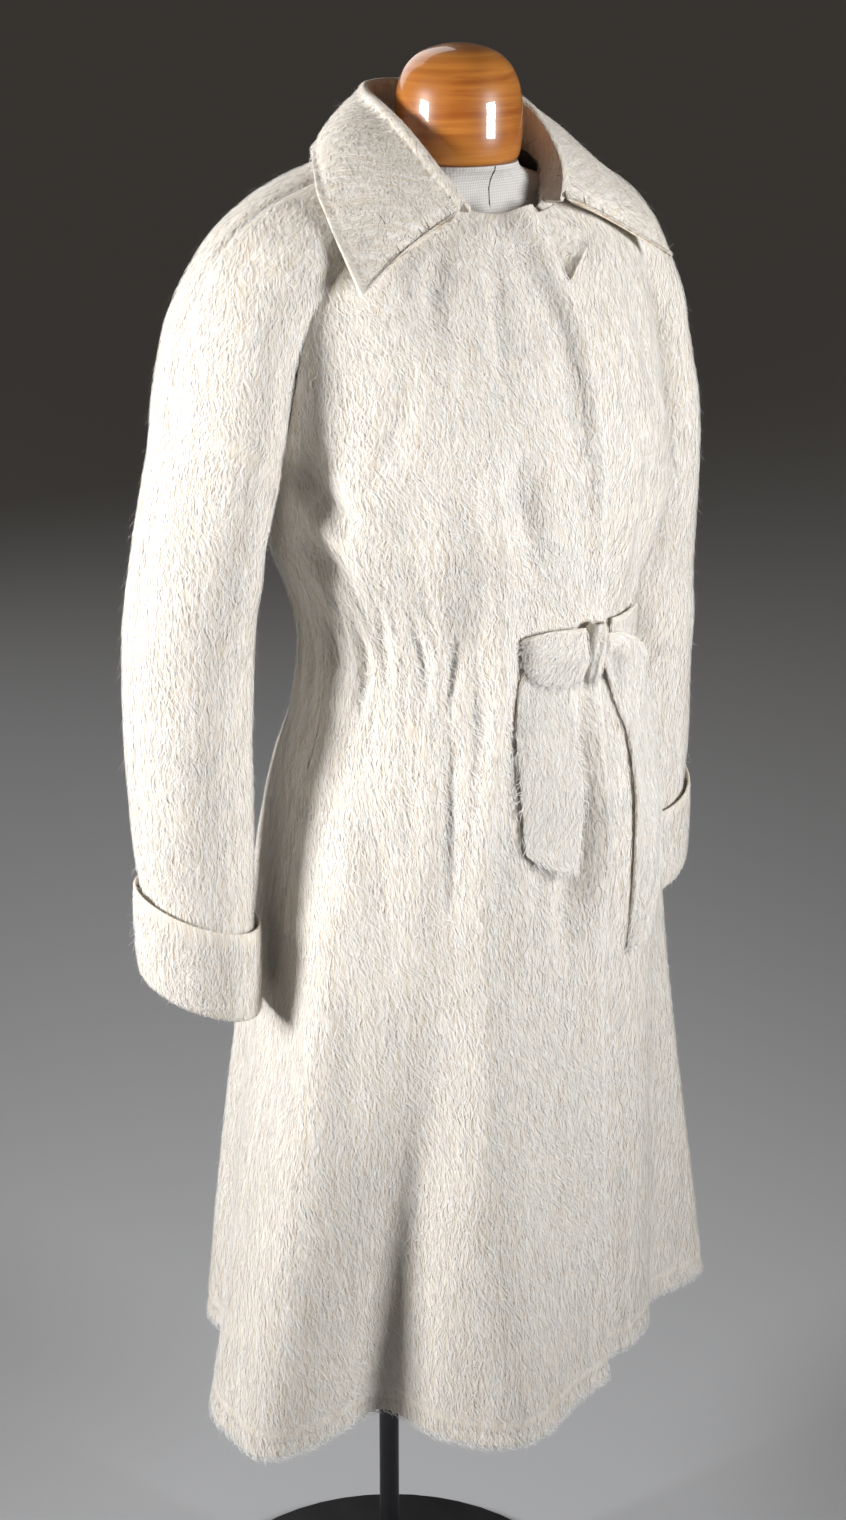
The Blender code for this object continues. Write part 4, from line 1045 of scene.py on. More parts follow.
@dataclass(frozen=True)
class WoodFinish(Finish):
    """Turned wood under a thick gloss varnish."""

    name: str = "varnished_cap"
    colour: Colour = (0.30, 0.075, 0.010)
    light: Colour = (0.66, 0.26, 0.045)
    roughness: float = 0.35

    def inputs(self, kit: NodeKit) -> dict[str, object]:
        """Draw slantwise growth rings below a clear varnish.

        Args:
            kit: adds nodes to the material.

        Returns:
            What goes into the shader, by the input's name.
        """
        place = kit.place()
        turn = kit.add("ShaderNodeMapping", {"Vector": place, "Rotation": (0.10, 0.06, 0.0),
                                             "Scale": (5.0, 5.0, 120.0)})
        rings = kit.noise(turn.outputs["Vector"], 1.0, 5.0, 0.6, 0.6)
        ramp = kit.add("ShaderNodeValToRGB", {"Fac": kit.weigh(rings, 0.6, kit.noise(place, 16.0))})
        stops = zip(ramp.color_ramp.elements, (0.34, 0.66), (self.colour, self.light))
        for stop, position, colour in stops:
            stop.position, stop.color = position, (*colour, 1.0)
        return {"Base Color": ramp.outputs["Color"], "Roughness": self.roughness,
                "Coat Weight": 1.0, "Coat Roughness": 0.03}


@dataclass(frozen=True)
class MetalFinish(Finish):
    """Dark paint on turned steel."""

    name: str = "dark_stand"
    colour: Colour = (0.020, 0.020, 0.022)
    light: Colour = (0.045, 0.045, 0.050)

    def inputs(self, kit: NodeKit) -> dict[str, object]:
        """Make the colour and the gloss a little uneven.

        Args:
            kit: adds nodes to the material.

        Returns:
            What goes into the shader, by the input's name.
        """
        cloud = kit.noise(kit.place(), 35.0, 4.0).outputs["Fac"]
        gloss = kit.add("ShaderNodeMapRange", {"Value": cloud, "To Min": 0.30, "To Max": 0.50})
        return {"Base Color": kit.blend(cloud, self.colour, self.light),
                "Roughness": gloss.outputs["Result"], "Metallic": 0.7}


def steps(grid: Array, axis: int) -> Array:
    """Return the distances between neighbours down (0) or across (1) a grid."""
    return np.linalg.norm(np.diff(grid, axis=axis), axis=2)


def cell_areas(grid: Array) -> Array:
    """Return twice the area of the triangle at each cell's first corner."""
    corner = grid[:-1, :-1]
    return np.linalg.norm(np.cross(grid[1:, :-1] - corner, grid[:-1, 1:] - corner), axis=2)


@dataclass
class ClothPiece:
    """One cut piece of cloth: a grid of outer points with a wall behind it."""

    node: str
    outer: Array
    held: Hang
    normals: Array | None = None
    wall: float = CLOTH
    rests_on: tuple[str, ...] = ("form_torso",)

    def __post_init__(self) -> None:
        """Work out the normals where none are given, and draw the ground in."""
        if self.normals is None:
            self.normals = outward_normals(self.outer)
        self.outer = self.outer - self.normals * INSET

    def map_points(self) -> Array:
        """Lay the piece flat.

        Returns:
            Each point's place on the flat cloth, in parts of the map's span.
        """
        across, down = (np.insert(np.cumsum(steps(self.outer, axis), axis=axis), 0, 0.0, axis=axis)
                        for axis in (1, 0))
        across -= across[:, across.shape[1] // 2][:, None]
        return np.stack([across / MAP_SPAN + 0.5, down / MAP_SPAN + 0.1], axis=2)

    def flat_size(self) -> Triple:
        """Measure the flat cut.

        Returns:
            Its width, length and area in metres.
        """
        grid = self.outer
        area = (cell_areas(grid).sum() + cell_areas(grid[::-1, ::-1]).sum()) / 2
        width, length = (steps(grid, axis).sum(axis=axis).max() for axis in (1, 0))
        return round(float(width), 3), round(float(length), 3), round(float(area), 4)

    def rim(self) -> list[tuple[int, int]]:
        """Go round the grid's rim.

        Returns:
            The row and column of each point of it, in order.
        """
        rows, columns = self.outer.shape[:2]
        rim = [(0, c) for c in range(columns)] + [(r, columns - 1) for r in range(1, rows)]
        rim += [(rows - 1, c) for c in range(columns - 2, -1, -1)]
        return rim + [(r, 0) for r in range(rows - 2, 0, -1)]

    def outwards(self) -> Array:
        """Find the way past the rim.

        Returns:
            Its unit vector at each point of the rim, and 0 inside.
        """
        grid = self.outer
        away = np.zeros_like(grid)
        away[:, 0] += unit(grid[:, 0] - grid[:, 1])
        away[:, -1] += unit(grid[:, -1] - grid[:, -2])
        away[0] += unit(grid[0] - grid[1])
        away[-1] += unit(grid[-1] - grid[-2])
        return unit(away)

    def build(self, material: Material) -> Object:
        """Make the closed wall, its edges drawn in and rounded.

        Args:
            material: the cloth's finish.

        Returns:
            The piece's object.
        """
        rim, away = self.rim(), self.outwards()
        outer = self.outer - away * self.wall * ROUNDING
        inner = outer - self.normals * self.wall
        columns, below, count = outer.shape[1], outer[..., 0].size, len(rim)
        at = tuple(np.array(rim).T)
        loops = []
        for turn in map(math.radians, (45, 90, 135)):
            lift = self.normals[at] * math.cos(turn) * self.wall / 2
            out = away[at] * math.sin(turn) * self.wall * ROUNDING
            loops.append((outer[at] + inner[at]) / 2 + lift + out)
        points = np.concatenate([outer.reshape(-1, 3), inner.reshape(-1, 3), *loops])
        spots = self.map_points()
        spots = np.concatenate([spots.reshape(-1, 2)] * 2 + [spots[at]] * 3)
        faces = []
        for a in (r * columns + c for r in range(len(outer) - 1) for c in range(columns - 1)):
            quad = (a, a + 1, a + columns + 1, a + columns)
            faces += [quad, tuple(below + i for i in quad[::-1])]
        edge = [r * columns + c for r, c in rim]
        chains = [edge, *(list(range(start, start + count))
                          for start in range(2 * below, 2 * below + 3 * count, count))]
        chains.append([below + i for i in edge])
        for first, second in zip(chains, chains[1:]):
            faces += zip(first[1:] + first[:1], first, second, second[1:] + second[:1])
        return mesh_object(f"{self.node}_cloth", points, faces, spots, material)


def mesh_object(name: str, points: Array, faces: list[tuple[int, ...]], spots: Array,
                material: Material) -> Object:
    """Make a smooth mesh object in the row's frame from points about the coat's middle.

    Args:
        name: the object's name.
        points: its points.
        faces: its faces, as rows of point numbers.
        spots: each point's place on the piece's map.
        material: its finish.

    Returns:
        The object, with its faces pointing out.
    """
    mesh = bpy.data.meshes.new(name)
    mesh.from_pydata((points + BODY_SHIFT).tolist(), [], faces)
    shape = bmesh.new()
    shape.from_mesh(mesh)
    bmesh.ops.recalc_face_normals(shape, faces=shape.faces)
    shape.to_mesh(mesh)
    shape.free()
    ids = np.empty(len(mesh.loops), dtype=np.int32)
    mesh.loops.foreach_get("vertex_index", ids)
    layer = mesh.uv_layers.new(name="cloth")
    layer.data.foreach_set("uv", spots[ids].astype(np.float32).ravel())
    mesh.shade_smooth()
    mesh.materials.append(material)
    return placed(name, mesh)


@dataclass
class Nap:
    """Long fibres brushed over a piece of cloth."""

    piece: ClothPiece
    density: float                   # strands for each square metre
    length: float = 0.018
    width: float = 0.00053
    flow: float = 0.0                # turn of the nap from where it is brushed, in radians
    lift: float = 0.0009
    seed: int = 1
    parts: int = 1
    brushed: Triple = (0.0, 0.0, -1.0)
    wander: float = 0.11             # slow turns of the nap, in radians
    spread: float = 0.30             # turn of each strand of its own
    curl: float = 0.45               # how far a strand bends sideways, in radians
    roll: float = 0.16               # how far a strand turns about its own length
    gloss: float = 0.15              # how unevenly the strands catch the light
    strays: float = 0.09
    stray_lift: Pair = (0.002, 0.0085)
    stray_size: Pair = (1.25, 0.4)   # length and width against the others'
    sizes: Pair = (0.6, 1.4)         # range of both, against the mean
    middle_lifts: Pair = (0.3, 1.5)  # ranges against the lift
    tip_lifts: Pair = (0.3, 2.2)
    taper: float = 0.9
    backlight: float = 0.10          # how far the shading leans against the nap
    root_depth: float = 0.0004
    tone: Pair = (0.62, 0.15)
    hem_reach: float = 0.28          # how far strands pass the first and last rows
    edge_reach: float = 0.25         # and the first and last columns

    def build(self, material: Material) -> list[Object]:
        """Scatter the strands and make them meshes, one for each part of the piece."""
        count = int(self.piece.flat_size()[2] * self.density)
        return [self.strands(part, count // self.parts, material) for part in range(self.parts)]

    def strands(self, part: int, count: int, material: Material) -> Object:
        """Make one mesh of tapered ribbons that follow the cloth.

        Args:
            part: which part of the piece's columns.
            count: how many strands.
            material: the strands' finish.

        Returns:
            The object.
        """
        rng = np.random.default_rng(self.seed * 100 + part)
        columns = self.piece.outer.shape[1] - 1
        low, high = part * columns // self.parts, (part + 1) * columns // self.parts
        cells = cell_areas(self.piece.outer)[:, low:high]
        pick = rng.choice(cells.size, size=count, p=cells.ravel() / cells.sum())
        r = pick // (high - low) + rng.random(count)
        c = pick % (high - low) + low + rng.random(count)
        root, normal, along, across = self.read(r, c)
        x, y, z = root.T
        wave = np.sin(x * 23 + z * 13) + np.sin(y * 31 - z * 19) + np.sin(z * 47 + x * 37)
        turn = self.flow + wave * self.wander + rng.normal(0, self.spread, count)
        fall = np.broadcast_to(np.array(self.brushed), root.shape)
        fall = unit(fall - normal * (fall * normal).sum(axis=1, keepdims=True))
        beside = np.cross(normal, fall)
        way = swung(fall, beside, turn)
        stray = rng.random(count) < self.strays
        longer, narrower = (np.where(stray, size, 1.0) for size in self.stray_size)
        length = self.length * rng.uniform(*self.sizes, count) * longer
        lift = self.lift * rng.uniform(*self.middle_lifts, count)
        tip_lift = np.where(stray, rng.uniform(*self.stray_lift, count),
                            self.lift * rng.uniform(*self.tip_lifts, count))
        first = swung(fall, beside, turn + rng.normal(0, self.curl, count))
        middle, middle_normal = self.follow(r, c, first * (length / 2)[:, None], along, across, lift)
        tip, tip_normal = self.follow(r, c, way * length[:, None], along, across, tip_lift)
        root = root - normal * self.root_depth
        flat = swung(unit(np.cross(way, normal)), normal, rng.normal(0, self.roll, count))
        half = self.width / 2 * rng.uniform(*self.sizes, count) * narrower
        half = flat * half[:, None]
        points = np.stack([root - half, root + half, middle + half * self.taper,
                           middle - half * self.taper, tip], axis=1)
        lean = flat * rng.normal(0, self.gloss, count)[:, None] - way * self.backlight
        shading = np.stack([normal, normal, middle_normal, middle_normal, tip_normal], axis=1)
        tone = np.clip(rng.normal(*self.tone, count), 0, 1)
        name = f"{self.piece.node}_cloth_nap{part or ''}"
        return ribbon_mesh(name, points + BODY_SHIFT, unit(shading + lean[:, None]), tone, material)

    def read(self, r: Array, c: Array) -> tuple[Array, ...]:
        """Read the cloth at broken row and column numbers.

        Args:
            r: row numbers.
            c: column numbers.

        Returns:
            Place, normal, and the steps to the next row and the next column.
        """
        grid = self.piece.outer
        r0 = np.clip(r.astype(int), 0, grid.shape[0] - 2)
        c0 = np.clip(c.astype(int), 0, grid.shape[1] - 2)
        fr, fc = (r - r0)[:, None], (c - c0)[:, None]
        place, normal = (
            (values[r0, c0] * (1 - fc) + values[r0, c0 + 1] * fc) * (1 - fr)
            + (values[r0 + 1, c0] * (1 - fc) + values[r0 + 1, c0 + 1] * fc) * fr
            for values in (grid, self.piece.normals))
        return place, unit(normal), grid[r0 + 1, c0] - grid[r0, c0], grid[r0, c0 + 1] - grid[r0, c0]

    def follow(self, r: Array, c: Array, move: Array, along: Array,
               across: Array, lift: Array) -> tuple[Array, Array]:
        """Walk over the cloth by a move, and rise off it.

        Args:
            r: row numbers of the starts.
            c: column numbers of the starts.
            move: the move in space.
            along: the step to the next row at each start.
            across: the step to the next column at each start.
            lift: how far each end rises off the cloth.

        Returns:
            The ends and the cloth's normals below them.
        """
        rows, columns = self.piece.outer.shape[:2]
        aa, ab, bb, ma, mb = ((one * two).sum(1) for one, two in (
            (along, along), (along, across), (across, across), (move, along), (move, across)))
        scale = np.maximum(aa * bb - ab * ab, 0.05 * aa * bb + 1e-14)
        row, column = r + (ma * bb - mb * ab) / scale, c + (mb * aa - ma * ab) / scale
        row_in, column_in = np.clip(row, 0, rows - 1), np.clip(column, 0, columns - 1)
        place, normal, _, _ = self.read(row_in, column_in)
        over = along * ((row - row_in) * self.hem_reach)[:, None]
        over += across * ((column - column_in) * self.edge_reach)[:, None]
        return place + over + normal * lift[:, None], normal


def ribbon_mesh(name: str, points: Array, shading: Array, tone: Array,
                material: Material) -> Object:
    """Make one mesh of many short ribbons, a quad and a triangle each.

    Args:
        name: the object's name.
        points: five points for each ribbon.
        shading: the normals at those points, which follow the cloth below.
        tone: a number from 0 to 1 for each ribbon.
        material: the strands' finish.

    Returns:
        The object.
    """
    count = len(points)
    ribbon = np.arange(count, dtype=np.int32)[:, None]
    mesh = bpy.data.meshes.new(name)
    mesh.vertices.add(count * 5)
    mesh.vertices.foreach_set("co", points.astype(np.float32).ravel())
    mesh.loops.add(count * 7)
    corners = ribbon * 5 + np.array([0, 1, 2, 3, 3, 2, 4], dtype=np.int32)
    mesh.loops.foreach_set("vertex_index", corners.ravel())
    mesh.polygons.add(count * 2)
    starts = ribbon * 7 + np.array([0, 4], dtype=np.int32)
    mesh.polygons.foreach_set("loop_start", starts.ravel())
    spots = np.empty((count, 7, 2), dtype=np.float32)
    spots[:, :, 0] = tone[:, None]
    spots[:, :, 1] = np.array([0.02, 0.02, 0.5, 0.5, 0.5, 0.5, 0.98])
    mesh.uv_layers.new(name="cloth").data.foreach_set("uv", spots.ravel())
    mesh.update(calc_edges=True)
    mesh.shade_smooth()
    mesh.normals_split_custom_set_from_vertices(shading.reshape(-1, 3).astype(np.float32))
    mesh.materials.append(material)
    return placed(name, mesh)


@dataclass(frozen=True)
class Fabric:
    """A woven ground and the strands of its nap."""

    slot: str
    ground: Material
    strands: Material

    def sew(self, piece: ClothPiece, **nap: object) -> None:
        """Make a piece with its nap, and log the size that it was cut to.

        Args:
            piece: the piece.
            nap: the fields of its Nap.
        """
        shell = piece.build(self.ground)
        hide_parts(piece.node)
        strands = Nap(piece, **nap).build(self.strands)
        for item in (shell, *strands):
            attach(item, "root")
        width, length, area = piece.flat_size()
        area = max(min(area, width * length), LEAST_FILL * width * length)
        LOG.info("%s cut %.3f by %.3f m, %.4f m2", shell.name, width, length, area)


def join_normals(first: Array, second: Array) -> None:
    """Give two seam edges the same normals, except where they face each other.

    Args:
        first: the normals along one edge, which are changed in place.
        second: and the other's.
    """
    shared = (first * second).sum(axis=1, keepdims=True) > 0.05
    mean = unit(first + second)
    for edge in (first, second):
        edge[:] = np.where(shared, mean, edge)


@dataclass
class CoatBody:
    """The two fronts, the back and the sleeves."""

    fabric: Fabric
    density: float = 135000.0
    right_flow: float = 0.30
    left_flow: float = -0.12

    def cut(self) -> tuple[dict[str, Array], dict[str, Array]]:
        """Work out every panel.

        Returns:
            The panels' points, and normals that they share at the seams.
        """
        grids = dict(PANELS)
        for side in Side:
            grids[f"{side.word}_sleeve_front"] = sleeve_grid(side, -1, 0)
            grids[f"{side.word}_sleeve_back"] = sleeve_grid(side, 0, 1)
        normals = {name: outward_normals(grid) for name, grid in grids.items()}
        yoke, back = len(YOKE_KEYS), normals["back"]
        for side, column in ((Side.RIGHT, 0), (Side.LEFT, -1)):
            front, ahead, behind = (
                normals[f"{side.word}_{name}"] for name in ("front", "sleeve_front", "sleeve_back"))
            join_normals(front[:-yoke, -1], back[:-yoke, column])
            join_normals(front[-yoke:, -1][::-1], ahead[:yoke, 0])
            join_normals(back[-yoke:, column][::-1], behind[:yoke, -1])
            join_normals(ahead[:, -1], behind[:, 0])
            join_normals(ahead[yoke:, 0], behind[yoke:, -1])
        return grids, normals

    def build(self) -> None:
        """Make every panel with its nap."""
        grids, normals = self.cut()
        flows = {"right_front": self.right_flow, "left_front": self.left_flow}
        for seed, (name, grid) in enumerate(grids.items()):
            held = Hang.GATHERED if name in PANELS else Hang.HUNG
            self.fabric.sew(ClothPiece(name, grid, held, normals[name]), density=self.density,
                            flow=flows.get(name, 0.0), seed=seed + 1, parts=1 + (name == "back"))


@dataclass
class Collar:
    """A wide pointed collar: a stand and a fall in one piece."""

    fabric: Fabric
    roll: float = 0.0065
    spread: float = 1.06             # of the left half's roll against the right's, at the front
    reach: float = 0.36              # length of half the collar's edge
    foot_in: float = 0.0042          # the foot stands this far inside the neckline
    foot_down: float = 0.003
    wave: float = 0.0016
    ridge: Pair = (0.0009, 0.0016)   # height, and place from the edge
    groove: Pair = (0.0011, 0.0070)  # depth, and place from the edge
    stitch: float = 0.0022           # half width of both
    hollow: float = 0.0075           # how far the front ends bow in
    hollow_reach: float = 0.12       # share of the way round where that ends
    falls: tuple[float, ...] = (
        0.06, 0.13, 0.20, 0.28, 0.36, 0.44, 0.52, 0.60, 0.68, 0.75, 0.81, 0.86, 0.895, 0.92, 0.94,
        0.96, 0.98, 1.0,
    )
    shares: tuple[float, ...] = (0.0, 0.003, 0.006, 0.010, 0.014, 0.018, 0.022, 0.028, 0.036, 0.046)

    def profile(self, side: Side, share: float, line: Array) -> list[Array]:
        """Work out one section of the collar.

        Args:
            side: which half.
            share: its place from the front end, at 0, to the middle of the back.
            line: the neckline of that half.

        Returns:
            Points from the foot over the roll to the edge.
        """
        row = COLLAR.at(share)
        roll, edge = (np.array([row[f"{name}_{axis}"] for axis in "xyz"]) * (side, 1, 1)
                      for name in ("roll", "edge"))
        if side > 0:
            roll[0] *= 1 + (self.spread - 1) * (1 - share)
            edge = edge * (row["left_wide"], 1, 1) - (0, 0, row["left_low"])
        out = unit((edge - roll) * (1, 1, 0))
        up = np.array((0, 0, 1.0))
        centre = roll - up * self.roll
        seam = along_line(line, share)
        foot = seam + unit((np.array((0, CAP_Y, 0)) - seam) * (1, 1, 0)) * self.foot_in
        foot = foot - up * self.foot_down
        inside, outside = centre - out * self.roll, centre + out * self.roll
        fall = edge - outside
        normal = unit(np.cross(np.cross(out, up), fall))
        if normal[2] < 0:
            normal = -normal
        points = [foot + (inside - foot) * t for t in (0, 0.25, 0.5, 0.75)]
        for angle in map(math.radians, range(0, 181, 20)):
            points.append(centre + self.roll * (up * math.sin(angle) - out * math.cos(angle)))
        length = float(np.linalg.norm(fall))
        end_pull = np.cross(normal, fall) / length * side
        for t in self.falls:
            bow = math.sin(math.pi * t)
            from_edge = min((1 - t) * length, share * self.reach)
            lift = bow * (row["bulge"] + self.wave * math.sin(9 * share + 2.0 * side))
            for (height, place), sign in ((self.ridge, 1), (self.groove, -1)):
                lift += sign * height * bump(from_edge - place, self.stitch)
            hollow = self.hollow * bow * (1 - ease(share / self.hollow_reach))
            points.append(outside + fall * t + normal * lift + end_pull * hollow)
        return points

    def build(self) -> None:
        """Make the collar with its nap, which is pressed shorter than the coat's."""
        shares = [*self.shares, *np.linspace(0.058, 1, 56)]
        halves = {side: [self.profile(side, share, line) for share in shares]
                  for side, line in ((side, neckline(side)) for side in Side)}
        grid = np.array(halves[Side.RIGHT] + halves[Side.LEFT][-2::-1]).transpose(1, 0, 2)
        normals = grid_normals(grid)
        if normals[8, :, 2].sum() < 0:
            normals = -normals
        piece = ClothPiece("collar", grid, Hang.FOLDED, normals,
                           rests_on=("back", "right_front", "left_front"))
        self.fabric.sew(piece, density=190000, length=0.009, seed=31, lift=0.0006, wander=0.35,
                        spread=0.45, width=0.0005, strays=0.02, hem_reach=0.12, edge_reach=0.12)


@dataclass
class Cuff:
    """A turned-back cuff: a band round the sleeve with a lip below its end."""

    fabric: Fabric
    side: Side
    height: float = 0.078
    top_station: float = 6.9     # the sleeve's row that gives the cuff's upper edge
    segments: int = 72
    wall: float = 0.0022
    half_size: Pair = (0.0465, 0.0470)
    # distance off the sleeve, share of the cuff's height, drop
    profile: tuple[Triple, ...] = (
        (0.0016, 0.97, 0.0), (0.0024, 1.0, 0.0006), (0.0040, 1.0, -0.0003), (0.0056, 1.0, 0.0006),
        (0.0064, 0.975, 0.0), (0.0068, 0.9, 0.0), (0.0072, 0.6, 0.0), (0.0072, 0.3, 0.0),
        (0.0068, 0.1, 0.0), (0.0060, 0.0, 0.0), (0.0046, 0.0, 0.0030), (0.0026, 0.0, 0.0044),
        (0.0002, 0.0, 0.0046), (-0.0018, 0.0, 0.0036), (-0.0030, 0.0, 0.0016),
    )

    def build(self) -> None:
        """Make the cuff as one turned sheet with its nap."""
        sweep = np.linspace(-1, 1, self.segments + 1)
        low, high = (sleeve_ring(station, self.side, sweep)
                     for station in (LAST_STATION, self.top_station))
        away = (low - low[:-1].mean(axis=0))[:, :2] / np.square(self.half_size)
        away = unit(np.column_stack([away, np.zeros(len(low))]))
        grid = []
        for offset, share, drop in self.profile:
            base = low + (high - low) * share
            base[:, 2] = low[:, 2] + self.height * share - drop
            grid.append(base + away * offset)
        word = self.side.word
        piece = ClothPiece(f"{word}_cuff", np.array(grid), Hang.FOLDED, wall=self.wall,
                           rests_on=(f"{word}_sleeve_front",))
        self.fabric.sew(piece, density=140000, length=0.012, seed=41 + self.side, wander=0.25,
                        spread=0.35, hem_reach=0.15)


def resampled(table: Table, count: int) -> list[Row]:
    """Return a table's rows read at evenly spaced values of its first column."""
    return [table.at(key) for key in np.linspace(table.values[0, 0], table.values[-1, 0], count)]


def laid(node: str, rows: list[list[Array]], held: Hang, rests_on: str) -> ClothPiece:
    """Cut a piece that lies on the coat.

    Args:
        node: the node that it replaces.
        rows: rows of its inner points.
        held: how it is held.
        rests_on: the node that it rests on.

    Returns:
        The piece, which faces the front.
    """
    inner = np.array(rows)
    normals = grid_normals(inner)
    if normals[..., 1].sum() > 0:
        normals = -normals
    return ClothPiece(node, inner + normals * BELT_CLOTH, held, normals, THIN_WALL, (rests_on,))


@dataclass
class Belt:
    """The belt's bands, knot and hanging ends."""

    fabric: Fabric
    knot_x: float = 0.031
    knot_z: float = WAIST + 0.004
    knot_off: float = 0.0125
    knot_size: Triple = (0.013, 0.0135, 0.0265)
    knot_swell: Pair = (0.82, 0.10)  # its girth halfway, and growth upwards
    knot_tuck: float = 0.92          # how far it closes at its ends
    knot_lean: float = 0.0035
    # depth, degrees round, turn from end to middle, half width
    knot_grooves: Rows = ((0.16, 246, 14, 10), (0.10, 300, 10, 12))
    width: float = 0.048
    slot_x: float = -0.041
    left_x: float = 0.0626
    left_length: float = 0.045
    left_margin: float = 0.004    # the left band is this much narrower at each edge
    left_off: float = 0.0030
    rest: float = 0.0006          # smallest distance between the long end and the coat
    sink: Fade = Fade(0.5, 1.5)   # how the long end goes down to that, from edge to edge
    ripple: float = 0.0010
    bow: float = 0.0016           # of the short end
    right_gap: float = 0.0008     # between the right band and the knot
    corner: Pair = (0.55, 0.032)  # share of its length, and height, of its rounding
    crown: float = 0.002          # bow of its upper edge
    slot_dip: Fade = Fade(0.08, 0.08, 0.002)
    right_off: float = 0.0009
    # how it rises off the coat: how far, and by which share of its length
    right_rises: tuple[Pair, ...] = ((0.0036, 0.09), (0.0042, 0.8))
    belly: Pair = (0.0050, 0.25)  # its bulge, and the share of its length where that is whole
    pleat: float = 0.0012
    short_end: Table = Table("place height left_x right_x left_off right_off", (
        (0, 1.052, -0.034, 0.006, 0.0004, 0.0012), (1, 1.036, -0.0430, 0.006, 0.0004, 0.0030),
        (2, 1.018, -0.0475, 0.003, 0.0010, 0.0075), (3, 0.990, -0.050, -0.001, 0.0018, 0.0140),
        (4, 0.955, -0.052, -0.005, 0.0022, 0.0170), (5, 0.920, -0.0535, -0.008, 0.0022, 0.0180),
        (6, 0.900, -0.0535, -0.0095, 0.0022, 0.0175), (7, 0.889, -0.043, -0.0105, 0.0040, 0.0170),
        (8, 0.876, -0.021, -0.0125, 0.0070, 0.0150),
    ))
    long_end: Table = Table("place x height off side_x side_z half_width curl", (
        (0, 0.0405, 1.054, 0.0190, 0.05, 1.00, 0.0165, 0.0),
        (1, 0.0510, 1.051, 0.0190, 0.36, 0.93, 0.0175, 0.0),
        (2, 0.0640, 1.043, 0.0180, 0.64, 0.77, 0.0190, 0.0005),
        (3, 0.0785, 1.025, 0.0150, 0.85, 0.52, 0.0205, 0.0012),
        (4, 0.0915, 0.998, 0.0110, 0.97, 0.24, 0.0220, 0.0018),
        (5, 0.1000, 0.968, 0.0075, 1.00, 0.05, 0.0225, 0.0018),
        (6, 0.1005, 0.922, 0.0060, 1.00, 0.00, 0.0220, 0.0020),
        (7, 0.0965, 0.876, 0.0055, 1.00, 0.00, 0.0215, 0.0020),
        (8, 0.0890, 0.834, 0.0050, 1.00, 0.00, 0.0180, 0.0018),
        (9, 0.0785, 0.802, 0.0045, 1.00, 0.00, 0.0110, 0.0012),
        (10, 0.0690, 0.784, 0.0032, 1.00, 0.00, 0.0040, 0.0),
    ))

    def right_band(self) -> ClothPiece:
        """Cut the band from the casing's slot to the knot.

        Returns:
            The band, with its lower corner rounded.
        """
        end_x = self.knot_x - self.knot_size[0] - self.right_gap
        low, high = self.knot_z - self.width / 2 + 0.001, self.knot_z + self.width / 2
        corner, corner_high = self.corner
        rows = []
        for t in np.linspace(0, 1, 25):
            x = self.slot_x + (end_x - self.slot_x) * t
            round_off = 1 - min(t / corner, 1.0)
            foot = low + corner_high * (1 - math.sqrt(1 - round_off ** 2))
            top = high + self.crown * math.sin(math.pi * t) - self.slot_dip.at(t)
            lift = self.right_off
            for rise, over in self.right_rises:
                lift += rise * ease(t / over)
            row = []
            for k in np.linspace(0, 1, 17):
                belly = self.belly[0] * math.sin(math.pi * k) ** 0.8 * ease(t / self.belly[1])
                pleat = self.pleat * math.sin(9.0 * k + 4.0 * t) * t
                row.append(moved_out(PANELS["right_front"], x, foot + (top - foot) * k,
                                     lift + belly + pleat))
            rows.append(row)
        return laid("belt_right_band", rows, Hang.LAID, "right_front")

    def left_band(self) -> ClothPiece:
        """Cut the band from the knot to the casing's slot on the left.

        Returns:
            The band.
        """
        half = self.width / 2 - self.left_margin
        rows = [[moved_out(PANELS["left_front"], self.left_x + self.left_length * t, z, self.left_off)
                 for z in np.linspace(self.knot_z - half, self.knot_z + half, 10)]
                for t in np.linspace(0, 1, 12)]
        return laid("belt_left_band", rows, Hang.LAID, "left_front")

    def hanging_short(self) -> ClothPiece:
        """Cut the short end.

        Returns:
            The end, straight from edge to edge but for a slight bow.
        """
        rows = []
        for row in resampled(self.short_end, 43)[::-1]:
            first, last = (moved_out(PANELS["right_front"], row[f"{edge}_x"], row["height"],
                                     row[f"{edge}_off"]) for edge in ("left", "right"))
            rows.append([first + (last - first) * t - (0, self.bow * math.sin(math.pi * t), 0)
                         for t in np.linspace(0, 1, 14)])
        return laid("belt_short_end", rows, Hang.HUNG, "belt_knot")

    def hanging_long(self) -> ClothPiece:
        """Cut the long end.

        Returns:
            The end, which turns from level to upright as it leaves the knot.
        """
        rows = []
        for row in resampled(self.long_end, 71):
            line = []
            for t in np.linspace(-1, 1, 17):
                reach = row["half_width"] * t
                lip = 0.4 * row["curl"] * bump(t + 0.93, 0.22)
                ripple = self.ripple * math.sin(5 * t + row["place"])
                sunk = (row["off"] - self.rest) * row["side_x"] * self.sink.at(t)
                line.append(moved_out(PANELS["left_front"], row["x"] + row["side_x"] * reach,
                                      row["height"] + row["side_z"] * reach,
                                      row["off"] - sunk + lip + ripple))
            rows.append(line)
        return laid("belt_long_end", rows, Hang.HUNG, "belt_knot")

